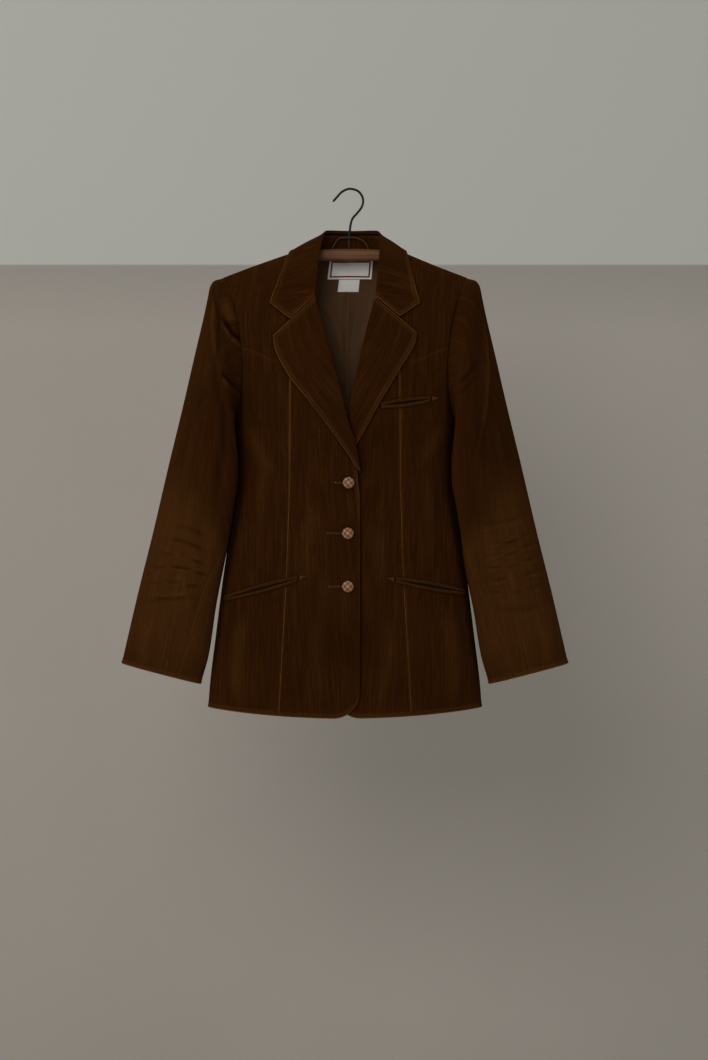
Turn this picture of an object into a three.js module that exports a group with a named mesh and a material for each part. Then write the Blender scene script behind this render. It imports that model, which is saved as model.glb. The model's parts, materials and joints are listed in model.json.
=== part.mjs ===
// Single-breasted corduroy jacket with notched lapels, hanging on a wooden hanger.
// Millimetres, +Z up, -Y is the front. The origin is the inside top of the hook.
// Right and left are the wearer's: the right side lies at -X.

import * as THREE from 'three';

// Driving sizes of the jacket
const clothThick = 1.5;
const liningThick = 1.0;
const seamGap = 0.4;
const ridgeGap = 0.7;
const jacketCentreX = -6;
const neckLean = { shift: 10.5, fromZ: -165, toZ: -62, wholeM: 60, noneM: 140 };
const armpitZ = -352;
const shoulderTipZ = -133;
const ridgeCentreZ = -63;
const neckPointM = 62;
const sectionPower = 2.5;
const armhole = { m: 175, lean: 9, bow: 22, bowPower: 1.6, halfDepth: 43 };
const shoulderRound = { from: 0.72, halfDepth: 51 };
const hem = { frontZ: -784, sideLift: 9, halfWidth: 205 };
const frontCorner = { radius: 40 };
const RIGHT = -1;
const LEFT = 1;
const FRONT = -1;
const BACK = 1;

// Half width and half depth of the body below the armpit
const bodyRows = [
  { z: -800, halfWidth: 205.5, halfDepth: 48 },
  { z: -750, halfWidth: 202.5, halfDepth: 48 },
  { z: -660, halfWidth: 192, halfDepth: 47 },
  { z: -592, halfWidth: 183.5, halfDepth: 46 },
  { z: -525, halfWidth: 174, halfDepth: 46 },
  { z: -450, halfWidth: 165, halfDepth: 47 },
  { z: -400, halfWidth: 164.5, halfDepth: 49 },
  { z: armpitZ, halfWidth: 166, halfDepth: 51 },
];

// Front edge, roll line and neck seam of each front, measured outward from the centre
const frontEdgeRows = {
  [RIGHT]: [
    { z: -800, m: -22.5 }, { z: -430, m: -22.5 }, { z: -386, m: -16.5 }, { z: -341, m: -3 },
    { z: -298, m: 8 }, { z: -232, m: 26 }, { z: -190, m: 37 }, { z: -163.5, m: 45 },
    { z: -130, m: 49.5 }, { z: -104, m: 57 }, { z: -85, m: 61.5 },
  ],
  [LEFT]: [
    { z: -800, m: -16 }, { z: -430, m: -16 }, { z: -400, m: -11 }, { z: -342, m: 3 },
    { z: -256, m: 22.5 }, { z: -202, m: 35 }, { z: -163.5, m: 45 },
    { z: -130, m: 49.5 }, { z: -104, m: 57 }, { z: -85, m: 61.5 },
  ],
};

// Seam between the centre front and the side front
const princessRows = [
  { z: -800, m: 100 }, { z: -675, m: 93 }, { z: -585, m: 88 }, { z: -500, m: 85 },
  { z: -430, m: 83 }, { z: -240, m: 82 },
];
const yokeSeam = { centreZ: -259, armholeZ: -241, fromM: 98, toM: 152, gap: 0.8 };

// Outer edge of each lapel from its tip down to the break, and where the roll line breaks
const lapelRows = {
  [RIGHT]: [
    { at: 0, m: 106.5, z: -221 }, { at: 0.07, m: 105, z: -236 }, { at: 0.28, m: 85.5, z: -278 },
    { at: 0.5, m: 52.5, z: -320 }, { at: 0.74, m: 19.5, z: -364 }, { at: 0.95, m: -11, z: -408 },
    { at: 1, m: -18.5, z: -421 },
  ],
  [LEFT]: [
    { at: 0, m: 107, z: -217 }, { at: 0.06, m: 105, z: -229 }, { at: 0.26, m: 82.5, z: -270 },
    { at: 0.5, m: 52.5, z: -320 }, { at: 0.82, m: 16.5, z: -384 }, { at: 1, m: -10, z: -419 },
  ],
};
const lapelRoll = { topZ: -164.2, breakZ: -424, radius: 1.6, foldShare: 3 / 7 };
const lapelRest = 2.7;
const overlapLift = { fromX: -62, toX: -32, below: 2.6, atLapel: 6.6, fadeZ: -235, wholeZ: -315, breakZ: -436 };

// Collar lines from the centre back (q 0) to the gorge (q 1). The seam and the leaf's edge
// lie on the body, at m from the centre and h down from the shoulder line, + at the back.
const collarRows = [
  { q: 0, rollM: 0, rollY: 34, rollZ: -58, seamM: 0, seamH: 32, edgeM: 0, edgeH: 53 },
  { q: 0.18, rollM: 21, rollY: 31, rollZ: -58, seamM: 28, seamH: 19.5, edgeM: 38, edgeH: 40 },
  { q: 0.34, rollM: 36, rollY: 19, rollZ: -59.5, seamM: 49, seamH: 7, edgeM: 76, edgeH: 20 },
  { q: 0.5, rollM: 40, rollY: 0, rollZ: -67.5, seamM: 60.5, seamH: 0, edgeM: 93, edgeH: 0 },
  { q: 0.65, rollM: 41.8, rollY: -27, rollZ: -89, seamM: 57, seamH: -16.5, edgeM: 97, edgeH: -15 },
  { q: 0.8, rollM: 43.5, rollY: -48.5, rollZ: -120, seamM: 49.5, seamH: -43, edgeM: 102, edgeH: -37 },
  { q: 1, rollM: 45, rollY: -54, rollZ: -163.2, seamM: 47, seamH: -82.5, edgeM: 112, edgeH: -67.5 },
];
const collarNotch = { share: 0.545, drop: { [RIGHT]: 28.5, [LEFT]: 25 }, fromQ: 0.74 };
const collarFold = { share: 2 / 8, inside: 6, outside: 6, rise: 3.4, startRise: 2.3, bulge: 2 };
const collarRest = { flat: 2.7, overRidge: 1.0, ridgeQ: 0.5, spreadQ: 0.12 };
const standEndQ = 12 / 14;
const standTopGap = 2.0;

// Sleeve sections from the armhole to the cuff: outer and inner line, half depth and bow
const sleeveRows = [
  { s: 0, outM: 184, outY: 0, outZ: -133, inM: 166.5, inY: 0, inZ: -352, halfDepth: 43, bow: 22 },
  { s: 0.02, outM: 195, outY: 0, outZ: -137.5, inM: 169, inY: -3, inZ: -360, halfDepth: 46, bow: 17 },
  { s: 0.04, outM: 201, outY: 0, outZ: -146, inM: 167, inY: -8, inZ: -370, halfDepth: 48, bow: 13 },
  { s: 0.067, outM: 205, outY: 0, outZ: -163, inM: 164, inY: -15, inZ: -384, halfDepth: 50, bow: 10 },
  { s: 0.122, outM: 212, outY: 0, outZ: -195, inM: 160, inY: -22, inZ: -404, halfDepth: 51, bow: 7 },
  { s: 0.21, outM: 224, outY: 0, outZ: -246, inM: 160, inY: -25, inZ: -432, halfDepth: 51, bow: 4 },
  { s: 0.338, outM: 241, outY: 1, outZ: -320, inM: 167, inY: -21, inZ: -474, halfDepth: 50, bow: 2 },
  { s: 0.503, outM: 264, outY: 2, outZ: -415, inM: 176.5, inY: -15, inZ: -522, halfDepth: 48, bow: 0 },
  { s: 0.67, outM: 286.5, outY: 0, outZ: -512, inM: 184, inY: -12, inZ: -570, halfDepth: 44, bow: 0 },
  { s: 0.83, outM: 309, outY: -6, outZ: -604, inM: 194, inY: -15, inZ: -628, halfDepth: 37, bow: 0 },
  { s: 0.93, outM: 323, outY: -11, outZ: -665, inM: 203.5, inY: -20, inZ: -694, halfDepth: 29, bow: 0 },
  { s: 1, outM: 333, outY: -14, outZ: -709.5, inM: 216, inY: -24, inZ: -739.5, halfDepth: 23, bow: 0 },
];
const sleeveClear = 2.6;

// Seams of the two-piece sleeve, as angles round it: 0 is the outer line, 90 the front
const sleeveSeamRows = [
  { s: 0, fore: 158, hind: -118 }, { s: 0.35, fore: 172, hind: -112 }, { s: 0.52, fore: 166, hind: -100 },
  { s: 0.67, fore: 142, hind: -88 }, { s: 0.83, fore: 124, hind: -76 }, { s: 1, fore: 113, hind: -66 },
];

// Large sleeve folds: where along (s) and round (angle) they lie, and how far they stand out
const sleeveFolds = {
  [RIGHT]: [
    { s: 0.2, reach: 0.2, angle: 84, spread: 9, slope: 10, height: 5 },
    { s: 0.27, reach: 0.19, angle: 108, spread: 10, slope: 10, height: -5.5 },
    { s: 0.06, reach: 0.05, angle: 108, spread: 26, slope: -320, height: -4 },
    { s: 0.64, reach: 0.03, angle: 100, spread: 34, slope: 500, height: -3.5 },
    { s: 0.71, reach: 0.03, angle: 118, spread: 30, slope: -420, height: -3.5 },
    { s: 0.78, reach: 0.03, angle: 92, spread: 34, slope: 460, height: -3 },
    { s: 0.7, reach: 0.04, angle: -80, spread: 36, slope: 300, height: -4 },
    { s: 0.3, reach: 0.2, angle: -96, spread: 12, slope: 12, height: -5 },
  ],
  [LEFT]: [
    { s: 0.18, reach: 0.19, angle: 88, spread: 8, slope: 8, height: 5.5 },
    { s: 0.24, reach: 0.2, angle: 70, spread: 9, slope: 12, height: -5 },
    { s: 0.12, reach: 0.05, angle: 118, spread: 24, slope: 340, height: -3.5 },
    { s: 0.62, reach: 0.03, angle: 104, spread: 36, slope: 420, height: -3.5 },
    { s: 0.68, reach: 0.03, angle: 96, spread: 38, slope: 380, height: -4 },
    { s: 0.75, reach: 0.03, angle: 90, spread: 40, slope: 240, height: -3.5 },
    { s: 0.69, reach: 0.04, angle: -84, spread: 36, slope: -300, height: -4 },
    { s: 0.32, reach: 0.2, angle: -92, spread: 12, slope: -10, height: -5 },
  ],
};

// Double-jetted pockets: the slit's two ends and its widest gap
const pocketRows = [
  { name: 'breast_pocket', side: LEFT, fromM: 53, fromZ: -325.5, toM: 127, toZ: -315.5, gap: 4.5 },
  { name: 'hip_pocket_right', side: RIGHT, fromM: 70, fromZ: -582, toM: 179, toZ: -612, gap: 3 },
  { name: 'hip_pocket_left', side: LEFT, fromM: 75.5, fromZ: -584, toM: 179, toZ: -603, gap: 3 },
];
const jet = { width: 4.2, thick: 1.2 };

// Buttons, with their places on the overlap
const button = { radius: 9, rim: 3.2, height: 7.4 };
const buttonRows = [
  { name: 'button_upper', x: 5.5, z: -440 },
  { name: 'button_middle', x: 4.5, z: -515 },
  { name: 'button_lower', x: 4.5, z: -594 },
];

// Lining, labels and hanging loop
const lining = { topZ: -97.5, bottomZ: -764, spread: 66, shoulderDrop: 12, lift: -3.4 };
const neckLabel = { fromM: -31, toM: 37, topZ: -102, bottomZ: -133, thick: 1 };
const careLabel = { fromM: -13, toM: 19, topZ: -133.5, bottomZ: -153, thick: 1 };
const loopCord = { radius: 1.5, sides: 6, segments: 16 };
const loopRows = [
  { w: -0.12, up: 0.08, off: 2.6 }, { w: -0.125, up: 0.35, off: 2.8 }, { w: -0.09, up: 0.62, off: 3 },
  { w: 0, up: 0.7, off: 3.2 }, { w: 0.09, up: 0.6, off: 3 }, { w: 0.14, up: 0.4, off: 2.8 },
  { w: 0.155, up: 0.08, off: 2.6 },
];

// Hanger: a wooden bar that follows the shoulders, and a wire hook
const bar = { thick: 12, heightCentre: 20, heightEnd: 13, centreTopZ: -88.5, reach: 176, underRidge: 1.6 };
const hookWire = { radius: 1.75, sides: 8, segments: 36 };
const hookPoints = [
  { x: -24.5, z: -17 }, { x: -21.5, z: -9.5 }, { x: -12.5, z: -1.5 }, { x: 0, z: hookWire.radius },
  { x: 12.5, z: -1.5 }, { x: 21.5, z: -12 }, { x: 21.5, z: -27 }, { x: 12.5, z: -41 },
  { x: 4, z: -53 }, { x: 0.6, z: -66 }, { x: 0, z: -78 }, { x: 0, z: bar.centreTopZ + 0.3 },
];

// Materials
const materials = {
  corduroy: new THREE.MeshStandardMaterial({ color: 0x40250e, roughness: 0.92, metalness: 0 }),
  lining: new THREE.MeshStandardMaterial({ color: 0x3d2a10, roughness: 0.55, metalness: 0 }),
  label: new THREE.MeshStandardMaterial({ color: 0xd8d2c6, roughness: 0.8, metalness: 0 }),
  leather: new THREE.MeshStandardMaterial({ color: 0x9a6a44, roughness: 0.6, metalness: 0 }),
  cord: new THREE.MeshStandardMaterial({ color: 0x4a2a14, roughness: 0.85, metalness: 0 }),
  wood: new THREE.MeshStandardMaterial({ color: 0x8a5c38, roughness: 0.5, metalness: 0 }),
  wire: new THREE.MeshStandardMaterial({ color: 0x2a2725, roughness: 0.4, metalness: 0.9 }),
};

// Small mathematics
const mix = (a, b, t) => a + (b - a) * t;
const clamp01 = (t) => Math.min(1, Math.max(0, t));
const radians = (degrees) => (degrees * Math.PI) / 180;
const bell = (t) => Math.exp(-t * t);

function easeBetween(from, to, value) {
  const t = clamp01((value - from) / (to - from));
  return t * t * (3 - 2 * t);
}

// A smooth curve through a table's rows that never overshoots them
function curveThrough(rows, input, output) {
  const xs = rows.map((row) => row[input]);
  const ys = rows.map((row) => row[output]);
  const slopes = xs.slice(1).map((x, i) => (ys[i + 1] - ys[i]) / (x - xs[i]));
  const tangents = xs.map((x, i) => {
    if (i === 0) return slopes[0];
    if (i === xs.length - 1) return slopes[i - 1];
    const before = slopes[i - 1];
    const after = slopes[i];
    return before * after <= 0 ? 0 : (2 * before * after) / (before + after);
  });
  return (x) => {
    const at = Math.min(Math.max(x, xs[0]), xs[xs.length - 1]);
    let i = 0;
    while (i < xs.length - 2 && at > xs[i + 1]) i += 1;
    const width = xs[i + 1] - xs[i];
    const t = (at - xs[i]) / width;
    const t2 = t * t;
    const t3 = t2 * t;
    return (2 * t3 - 3 * t2 + 1) * ys[i] + (t3 - 2 * t2 + t) * width * tangents[i]
      + (3 * t2 - 2 * t3) * ys[i + 1] + (t3 - t2) * width * tangents[i + 1];
  };
}

const halfWidthAt = curveThrough(bodyRows, 'z', 'halfWidth');
const halfDepthAt = curveThrough(bodyRows, 'z', 'halfDepth');
const princessM = curveThrough(princessRows, 'z', 'm');
const frontEdgeM = {
  [RIGHT]: curveThrough(frontEdgeRows[RIGHT], 'z', 'm'),
  [LEFT]: curveThrough(frontEdgeRows[LEFT], 'z', 'm'),
};
const ridgeDrop = (shoulderTipZ - ridgeCentreZ) / (armhole.m + armhole.lean);
const ridgeZ = (m) => ridgeCentreZ + ridgeDrop * Math.abs(m);

// The neck sits a little to one side of the jacket's centre line
function leanAt(m, z) {
  const up = clamp01((z - neckLean.fromZ) / (neckLean.toZ - neckLean.fromZ));
  const inward = clamp01((neckLean.noneM - Math.abs(m)) / (neckLean.noneM - neckLean.wholeM));
  return neckLean.shift * up * inward;
}

// A point at m outward from the jacket's centre, and the m of a point
function place(side, m, y, z) {
  return new THREE.Vector3(jacketCentreX + side * m + leanAt(m, z), y, z);
}

function outwardOf(side, x, z) {
  let m = side * (x - jacketCentreX);
  for (let i = 0; i < 8; i += 1) m = side * (x - jacketCentreX - leanAt(m, z));
  return m;
}

// The body's section at a height: how wide it is, and how deep at its middle and its edge
function bodySection(sine, z) {
  if (z <= armpitZ) return { edge: halfWidthAt(z), middle: halfDepthAt(z), end: 0 };
  const tipRise = shoulderTipZ - armpitZ;
  const centreRise = ridgeCentreZ - armpitZ;
  const level = clamp01((z - armpitZ) / mix(centreRise, tipRise, Math.abs(sine)));
  const cosine = 2 * level - 1;
  const round = Math.sqrt(Math.max(0, 1 - cosine * cosine));
  const rising = clamp01((level - shoulderRound.from) / (1 - shoulderRound.from));
  return {
    edge: armhole.m + armhole.lean * cosine - armhole.bow * round ** armhole.bowPower,
    middle: shoulderRound.halfDepth * Math.sqrt(1 - rising * rising),
    end: armhole.halfDepth * round,
  };
}

function bodyByAngle(side, face, angle, z) {
  const sine = Math.sin(angle);
  const { edge, middle, end } = bodySection(sine, z);
  const fullness = Math.max(0, 1 - Math.abs(sine) ** sectionPower) ** (1 / sectionPower);
  const depth = end + (middle - end) * fullness;
  return place(side, edge * sine, face * (depth + ridgeGap / 2), z);
}

function angleAt(m, z) {
  let sine = 0;
  for (let i = 0; i < 10; i += 1) {
    sine = Math.min(1, Math.max(-1, m / bodySection(sine, z).edge));
  }
  return Math.asin(sine);
}

function normalOf(surface, u, v) {
  const step = 0.004;
  const across = surface(Math.min(u + step, 1), v).sub(surface(Math.max(u - step, 0), v));
  const along = surface(u, Math.min(v + step, 1)).sub(surface(u, Math.max(v - step, 0)));
  return across.cross(along).normalize();
}

// A point on the body, lifted straight out of the cloth
function bodyLifted(side, face, m, z, lift) {
  const angle = angleAt(m, z);
  const here = bodyByAngle(side, face, angle, z);
  const turn = angle > 0 ? -0.002 : 0.002;
  const across = bodyByAngle(side, face, angle + turn, z).sub(here);
  const down = bodyByAngle(side, face, angle, z - 0.1).sub(here);
  const out = across.cross(down).normalize();
  if (out.y * face < 0 || (Math.abs(out.y) < 0.02 && out.x * side * m < 0)) out.negate();
  return here.addScaledVector(out, lift);
}

// A wall of cloth about a surface, from u 0 to 1 and v 0 to 1, closed on all its edges
function clothWall(name, surface, columns, rows, thick, material) {
  const positions = [];
  const triangles = [];
  const perLayer = (columns + 1) * (rows + 1);
  const spot = (layer, i, j) => layer * perLayer + j * (columns + 1) + i;
  for (const half of [thick / 2, -thick / 2]) {
    for (let j = 0; j <= rows; j += 1) {
      for (let i = 0; i <= columns; i += 1) {
        const u = i / columns;
        const v = j / rows;
        const point = surface(u, v).addScaledVector(normalOf(surface, u, v), half);
        positions.push(point.x, point.y, point.z);
      }
    }
  }
  const quad = (a, b, c, d) => triangles.push(a, b, c, a, c, d);
  for (let j = 0; j < rows; j += 1) {
    for (let i = 0; i < columns; i += 1) {
      quad(spot(0, i, j), spot(0, i + 1, j), spot(0, i + 1, j + 1), spot(0, i, j + 1));
      quad(spot(1, i, j), spot(1, i, j + 1), spot(1, i + 1, j + 1), spot(1, i + 1, j));
    }
  }
  for (let i = 0; i < columns; i += 1) {
    quad(spot(0, i, 0), spot(1, i, 0), spot(1, i + 1, 0), spot(0, i + 1, 0));
    quad(spot(0, i, rows), spot(0, i + 1, rows), spot(1, i + 1, rows), spot(1, i, rows));
  }
  for (let j = 0; j < rows; j += 1) {
    quad(spot(0, 0, j), spot(0, 0, j + 1), spot(1, 0, j + 1), spot(1, 0, j));
    quad(spot(0, columns, j), spot(1, columns, j), spot(1, columns, j + 1), spot(0, columns, j + 1));
  }
  return closedMesh(name, positions, triangles, material);
}

function closedMesh(name, positions, triangles, material) {
  const point = (i) => new THREE.Vector3().fromArray(positions, 3 * i);
  let volume = 0;
  for (let i = 0; i < triangles.length; i += 3) {
    const [a, b, c] = [0, 1, 2].map((k) => point(triangles[i + k]));
    volume += a.dot(b.cross(c));
  }
  if (volume < 0) triangles.reverse();
  const geometry = new THREE.BufferGeometry();
  geometry.setAttribute('position', new THREE.Float32BufferAttribute(positions, 3));
  geometry.setIndex(triangles);
  geometry.computeVertexNormals();
  const mesh = new THREE.Mesh(geometry, material);
  mesh.name = name;
  return mesh;
}

// A body panel between an inner and an outer line, a bottom and a top line
function panelSurface(side, face, lines) {
  return (u, v) => {
    const along = lines.spread ? lines.spread(v) : v;
    let z = mix(lines.bottom(lines.startM), lines.top(lines.startM), along);
    let angle = 0;
    for (let i = 0; i < 14; i += 1) {
      const from = angleAt(lines.inner(z), z);
      const to = lines.outer ? angleAt(lines.outer(z), z) : Math.PI / 2;
      angle = mix(from, to, u);
      const m = bodySection(Math.sin(angle), z).edge * Math.sin(angle);
      z = mix(lines.bottom(m), lines.top(m), along);
    }
    const point = bodyByAngle(side, face, angle, z);
    const lift = face === FRONT && side === RIGHT ? frontLift(point.x - jacketCentreX, z) : 0;
    point.y -= lift;
    return point;
  };
}

// How far the right front stands off where it lies over the left front and its lapel
function frontLift(x, z) {
  const over = easeBetween(overlapLift.fromX, overlapLift.toX, x);
  const upper = 1 - easeBetween(overlapLift.wholeZ, overlapLift.fadeZ, z);
  const lapelBelow = easeBetween(overlapLift.breakZ - 30, overlapLift.breakZ, z);
  return over * upper * mix(overlapLift.below, overlapLift.atLapel, lapelBelow);
}

function hemZ(m, side) {
  const edge = frontEdgeM[side](-780);
  const level = hem.frontZ + hem.sideLift * (Math.abs(m) / hem.halfWidth) ** 2;
  const inCorner = clamp01((edge + frontCorner.radius - m) / frontCorner.radius);
  return level + frontCorner.radius * (1 - Math.sqrt(1 - inCorner * inCorner));
}

const backHemZ = (m) => hem.frontZ + hem.sideLift * (Math.abs(m) / hem.halfWidth) ** 2;
const yokeZ = (m) => mix(yokeSeam.centreZ, yokeSeam.armholeZ, easeBetween(yokeSeam.fromM, yokeSeam.toM, m));
const rollSetBack = (z) => (lapelRoll.radius + 5 * seamGap) * easeBetween(lapelRoll.breakZ - 40, lapelRoll.breakZ - 8, z);

function frontCentre(side, name) {
  const innerEdge = (z) => frontEdgeM[side](z) + rollSetBack(z);
  return clothWall(name, panelSurface(side, FRONT, {
    startM: 30,
    inner: innerEdge,
    outer: (z) => princessM(z) - seamGap / 2,
    bottom: (m) => hemZ(m, side),
    top: (m) => yokeZ(m) - seamGap / 2,
  }), 6, 20, clothThick, materials.corduroy);
}

function frontSide(side, name) {
  return clothWall(name, panelSurface(side, FRONT, {
    startM: 120,
    inner: (z) => princessM(z) + seamGap / 2,
    bottom: (m) => hemZ(m, side),
    top: (m) => yokeZ(m) - seamGap / 2,
  }), 7, 20, clothThick, materials.corduroy);
}

function frontYoke(side, name) {
  return clothWall(name, panelSurface(side, FRONT, {
    startM: 120,
    inner: (z) => frontEdgeM[side](z) + rollSetBack(z),
    bottom: (m) => yokeZ(m) + yokeSeam.gap - seamGap / 2,
    top: ridgeZ,
    spread: (v) => 1 - (1 - v) ** 1.7,
  }), 7, 7, clothThick, materials.corduroy);
}

function backNeckZ(m) {
  const seam = ridgeCentreZ - 33.5 + 9 * (m / neckPointM) ** 2;
  return Math.min(ridgeZ(m), seam + 30 * Math.max(0, m / neckPointM - 1));
}

function backPanel(side, name) {
  return clothWall(name, panelSurface(side, BACK, {
    startM: 80,
    inner: () => seamGap / 2,
    bottom: backHemZ,
    top: backNeckZ,
    spread: (v) => 1 - (1 - v) ** 1.6,
  }), 10, 20, clothThick, materials.corduroy);
}

// Lapels: each turns over its roll line and lies on the front
function lapel(side, name) {
  const edgeM = curveThrough(lapelRows[side], 'at', 'm');
  const edgeZ = curveThrough(lapelRows[side], 'at', 'z');
  const surface = (u, v) => {
    const z0 = mix(lapelRoll.topZ, lapelRoll.breakZ, v);
    const roll = new THREE.Vector2(frontEdgeM[side](z0), z0);
    const reach = new THREE.Vector2(edgeM(v), edgeZ(v)).sub(roll);
    const { radius, foldShare } = lapelRoll;
    const fold = radians(mix(-90, 90, clamp01(u / foldShare)));
    const flat = clamp01((u - foldShare) / (1 - foldShare));
    const away = radius * (1 - Math.cos(fold)) + flat * Math.max(1, reach.length() - radius);
    const spot = roll.clone().addScaledVector(reach.normalize(), away);
    const lift = radius * (1 + Math.sin(fold)) + (lapelRest - 2 * radius) * easeBetween(0, 0.6, flat);
    const lapelBase = side === RIGHT ? frontLift(side * spot.x, spot.y) : 0;
    return bodyLifted(side, FRONT, spot.x, spot.y, lift).add(new THREE.Vector3(0, -lapelBase, 0));
  };
  return clothWall(name, surface, 7, 11, clothThick, materials.corduroy);
}

// Collar lines as functions of q
const collarLine = Object.fromEntries(
  Object.keys(collarRows[0]).filter((key) => key !== 'q')
    .map((key) => [key, curveThrough(collarRows, 'q', key)]),
);

function onShoulder(side, m, h, lift) {
  return bodyLifted(side, h > 0 ? BACK : FRONT, m, ridgeZ(m) - Math.max(Math.abs(h), 0.02), lift);
}

// Moves a point of the collar out until it clears the body by lift
function clearOfBody(side, point, lift) {
  const m = outwardOf(side, point.x, point.z);
  const tall = (1 - shoulderRound.from) * (ridgeCentreZ - armpitZ);
  const middleZ = ridgeZ(m) - tall;
  const face = point.y > 0 ? BACK : FRONT;
  const { edge, middle, end } = bodySection(m / armhole.m, Math.min(point.z, middleZ));
  const fullness = Math.max(0, 1 - Math.min(1, m / edge) ** sectionPower) ** (1 / sectionPower);
  const deep = end + (middle - end) * fullness + lift;
  const rise = Math.max(0, point.z - middleZ) / (tall + lift);
  const size = Math.hypot(point.y / deep, rise);
  if (size < 1) {
    point.y = face * Math.max(Math.abs(point.y) / size, 0.01);
    if (rise > 0) point.z = middleZ + (point.z - middleZ) / size;
  }
  return point;
}

const collarRestAt = (q) => collarRest.flat + collarRest.overRidge * bell((q - collarRest.ridgeQ) / collarRest.spreadQ);

function collarFrame(side, q) {
  const roll = place(side, collarLine.rollM(q), collarLine.rollY(q), collarLine.rollZ(q));
  const seam = onShoulder(side, collarLine.seamM(q), collarLine.seamH(q), 0.2);
  const edge = onShoulder(side, collarLine.edgeM(q), collarLine.edgeH(q), collarRestAt(q));
  return { roll, seam, edge };
}

function leafPoint(w, u) {
  const side = w < 0 ? RIGHT : LEFT;
  const q = Math.abs(w);
  const { roll, seam, edge } = collarFrame(side, q);
  const inside = roll.clone().lerp(seam, Math.min(0.45, collarFold.inside / roll.distanceTo(seam)));
  const outward = edge.clone().sub(roll).normalize();
  const facing = easeBetween(0.6, 1, q);
  const up = new THREE.Vector3(0, -facing, 1 - facing).normalize();
  const start = roll.clone().addScaledVector(outward, collarFold.outside).addScaledVector(up, collarFold.startRise);
  const t = clamp01((u - collarFold.share) / (1 - collarFold.share));
  let point;
  if (t === 0) {
    const turn = u / collarFold.share;
    const top = roll.clone().addScaledVector(up, collarFold.rise);
    point = inside.lerp(top, turn).lerp(top.clone().lerp(start, turn), turn);
  } else {
    const crown = collarFold.bulge * Math.sin(Math.PI * t) ** 1.2 * (1 - 0.7 * q);
    point = start.lerp(edge, t).addScaledVector(up, crown);
  }
  const rollM = collarLine.rollM(q);
  const across = (outwardOf(side, point.x, point.z) - rollM) / (collarLine.edgeM(q) - rollM || 1);
  const tent = Math.min(across / collarNotch.share, (1 - across) / (1 - collarNotch.share));
  const bend = clamp01((q - collarNotch.fromQ) / (1 - collarNotch.fromQ)) ** 1.6;
  point.z -= collarNotch.drop[side] * clamp01(tent) * bend;
  return t === 0 ? point : clearOfBody(side, point, collarRestAt(q));
}

function collarLeaf() {
  return clothWall('collar_leaf', (u, v) => leafPoint(mix(-1, 1, v), u), 8, 28, clothThick, materials.corduroy);
}

function collarStand() {
  const surface = (u, v) => {
    const w = mix(-standEndQ, standEndQ, v);
    const { roll, seam } = collarFrame(w < 0 ? RIGHT : LEFT, Math.abs(w));
    const tall = roll.distanceTo(seam);
    const top = Math.min(0.45, collarFold.inside / tall) + standTopGap / tall;
    return seam.lerp(roll, mix(0, 1 - top, u));
  };
  return clothWall('collar_stand', surface, 2, 24, clothThick, materials.corduroy);
}

// Sleeves
const sleeveLine = Object.fromEntries(
  Object.keys(sleeveRows[0]).filter((key) => key !== 's')
    .map((key) => [key, curveThrough(sleeveRows, 's', key)]),
);
const foreSeam = curveThrough(sleeveSeamRows, 's', 'fore');
const hindSeam = curveThrough(sleeveSeamRows, 's', 'hind');

function sleeveFoldHeight(side, degrees, s) {
  return sleeveFolds[side].reduce((sum, fold) => {
    const off = (degrees - fold.angle) / fold.spread;
    const along = (s - fold.s - (degrees - fold.angle) / (fold.slope * 40)) / fold.reach;
    return sum + fold.height * bell(off) * bell(along);
  }, 0);
}

function sleevePoint(side, degrees, s) {
  const line = Object.fromEntries(Object.entries(sleeveLine).map(([key, curve]) => [key, curve(s)]));
  const angle = radians(degrees);
  const cosine = Math.cos(angle);
  const sine = Math.sin(angle);
  const swell = 1 + sleeveFoldHeight(side, degrees, s) / 55;
  const reach = (outer, inner) => mix(inner, outer, 0.5 + 0.5 * cosine * swell);
  const y = reach(line.outY, line.inY) - line.halfDepth * sine * swell;
  const z = reach(line.outZ, line.inZ);
  const under = 1.2 * Math.max(0, -cosine) ** 2 * bell(s / 0.03);
  let m = reach(line.outM, line.inM) - line.bow * Math.abs(sine) ** armhole.bowPower + 1.3 * bell(s / 0.05) + under;
  const flank = Math.abs(y) / halfDepthAt(z);
  if (z < armpitZ + 2 && flank < 1) {
    const beside = halfWidthAt(z) * (1 - flank ** sectionPower) ** (1 / sectionPower);
    m = Math.max(m, beside + sleeveClear);
  }
  return place(side, m, y, z);
}

function sleevePiece(side, name, columns, from, to) {
  const surface = (u, v) => {
    const s = v ** 1.35;
    return sleevePoint(side, mix(from(s), to(s), u), s);
  };
  return clothWall(name, surface, columns, 20, clothThick, materials.corduroy);
}

const seamAngle = 0.25;

function topSleeve(side, name) {
  return sleevePiece(side, name, 12, (s) => hindSeam(s) + seamAngle, (s) => foreSeam(s) - seamAngle);
}

function underSleeve(side, name) {
  return sleevePiece(side, name, 6, (s) => foreSeam(s) + seamAngle, (s) => hindSeam(s) + 360 - seamAngle);
}

// Pockets: two narrow jets that lie on the front, above and below the slit
function pocketJet(row, above) {
  const sign = above ? 1 : -1;
  const surface = (u, v) => {
    const m = mix(row.fromM, row.toM, v);
    const slit = mix(row.fromZ, row.toZ, v);
    const open = seamGap / 2 + (row.gap / 2) * Math.sin(Math.PI * v);
    const z = slit + sign * (open + jet.width * u);
    return bodyLifted(row.side, FRONT, m, z, clothThick / 2 + 2 * seamGap + jet.thick / 2);
  };
  const name = `${row.name}_${above ? 'upper' : 'lower'}_jet`;
  return clothWall(name, surface, 1, 10, jet.thick, materials.corduroy);
}

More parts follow.
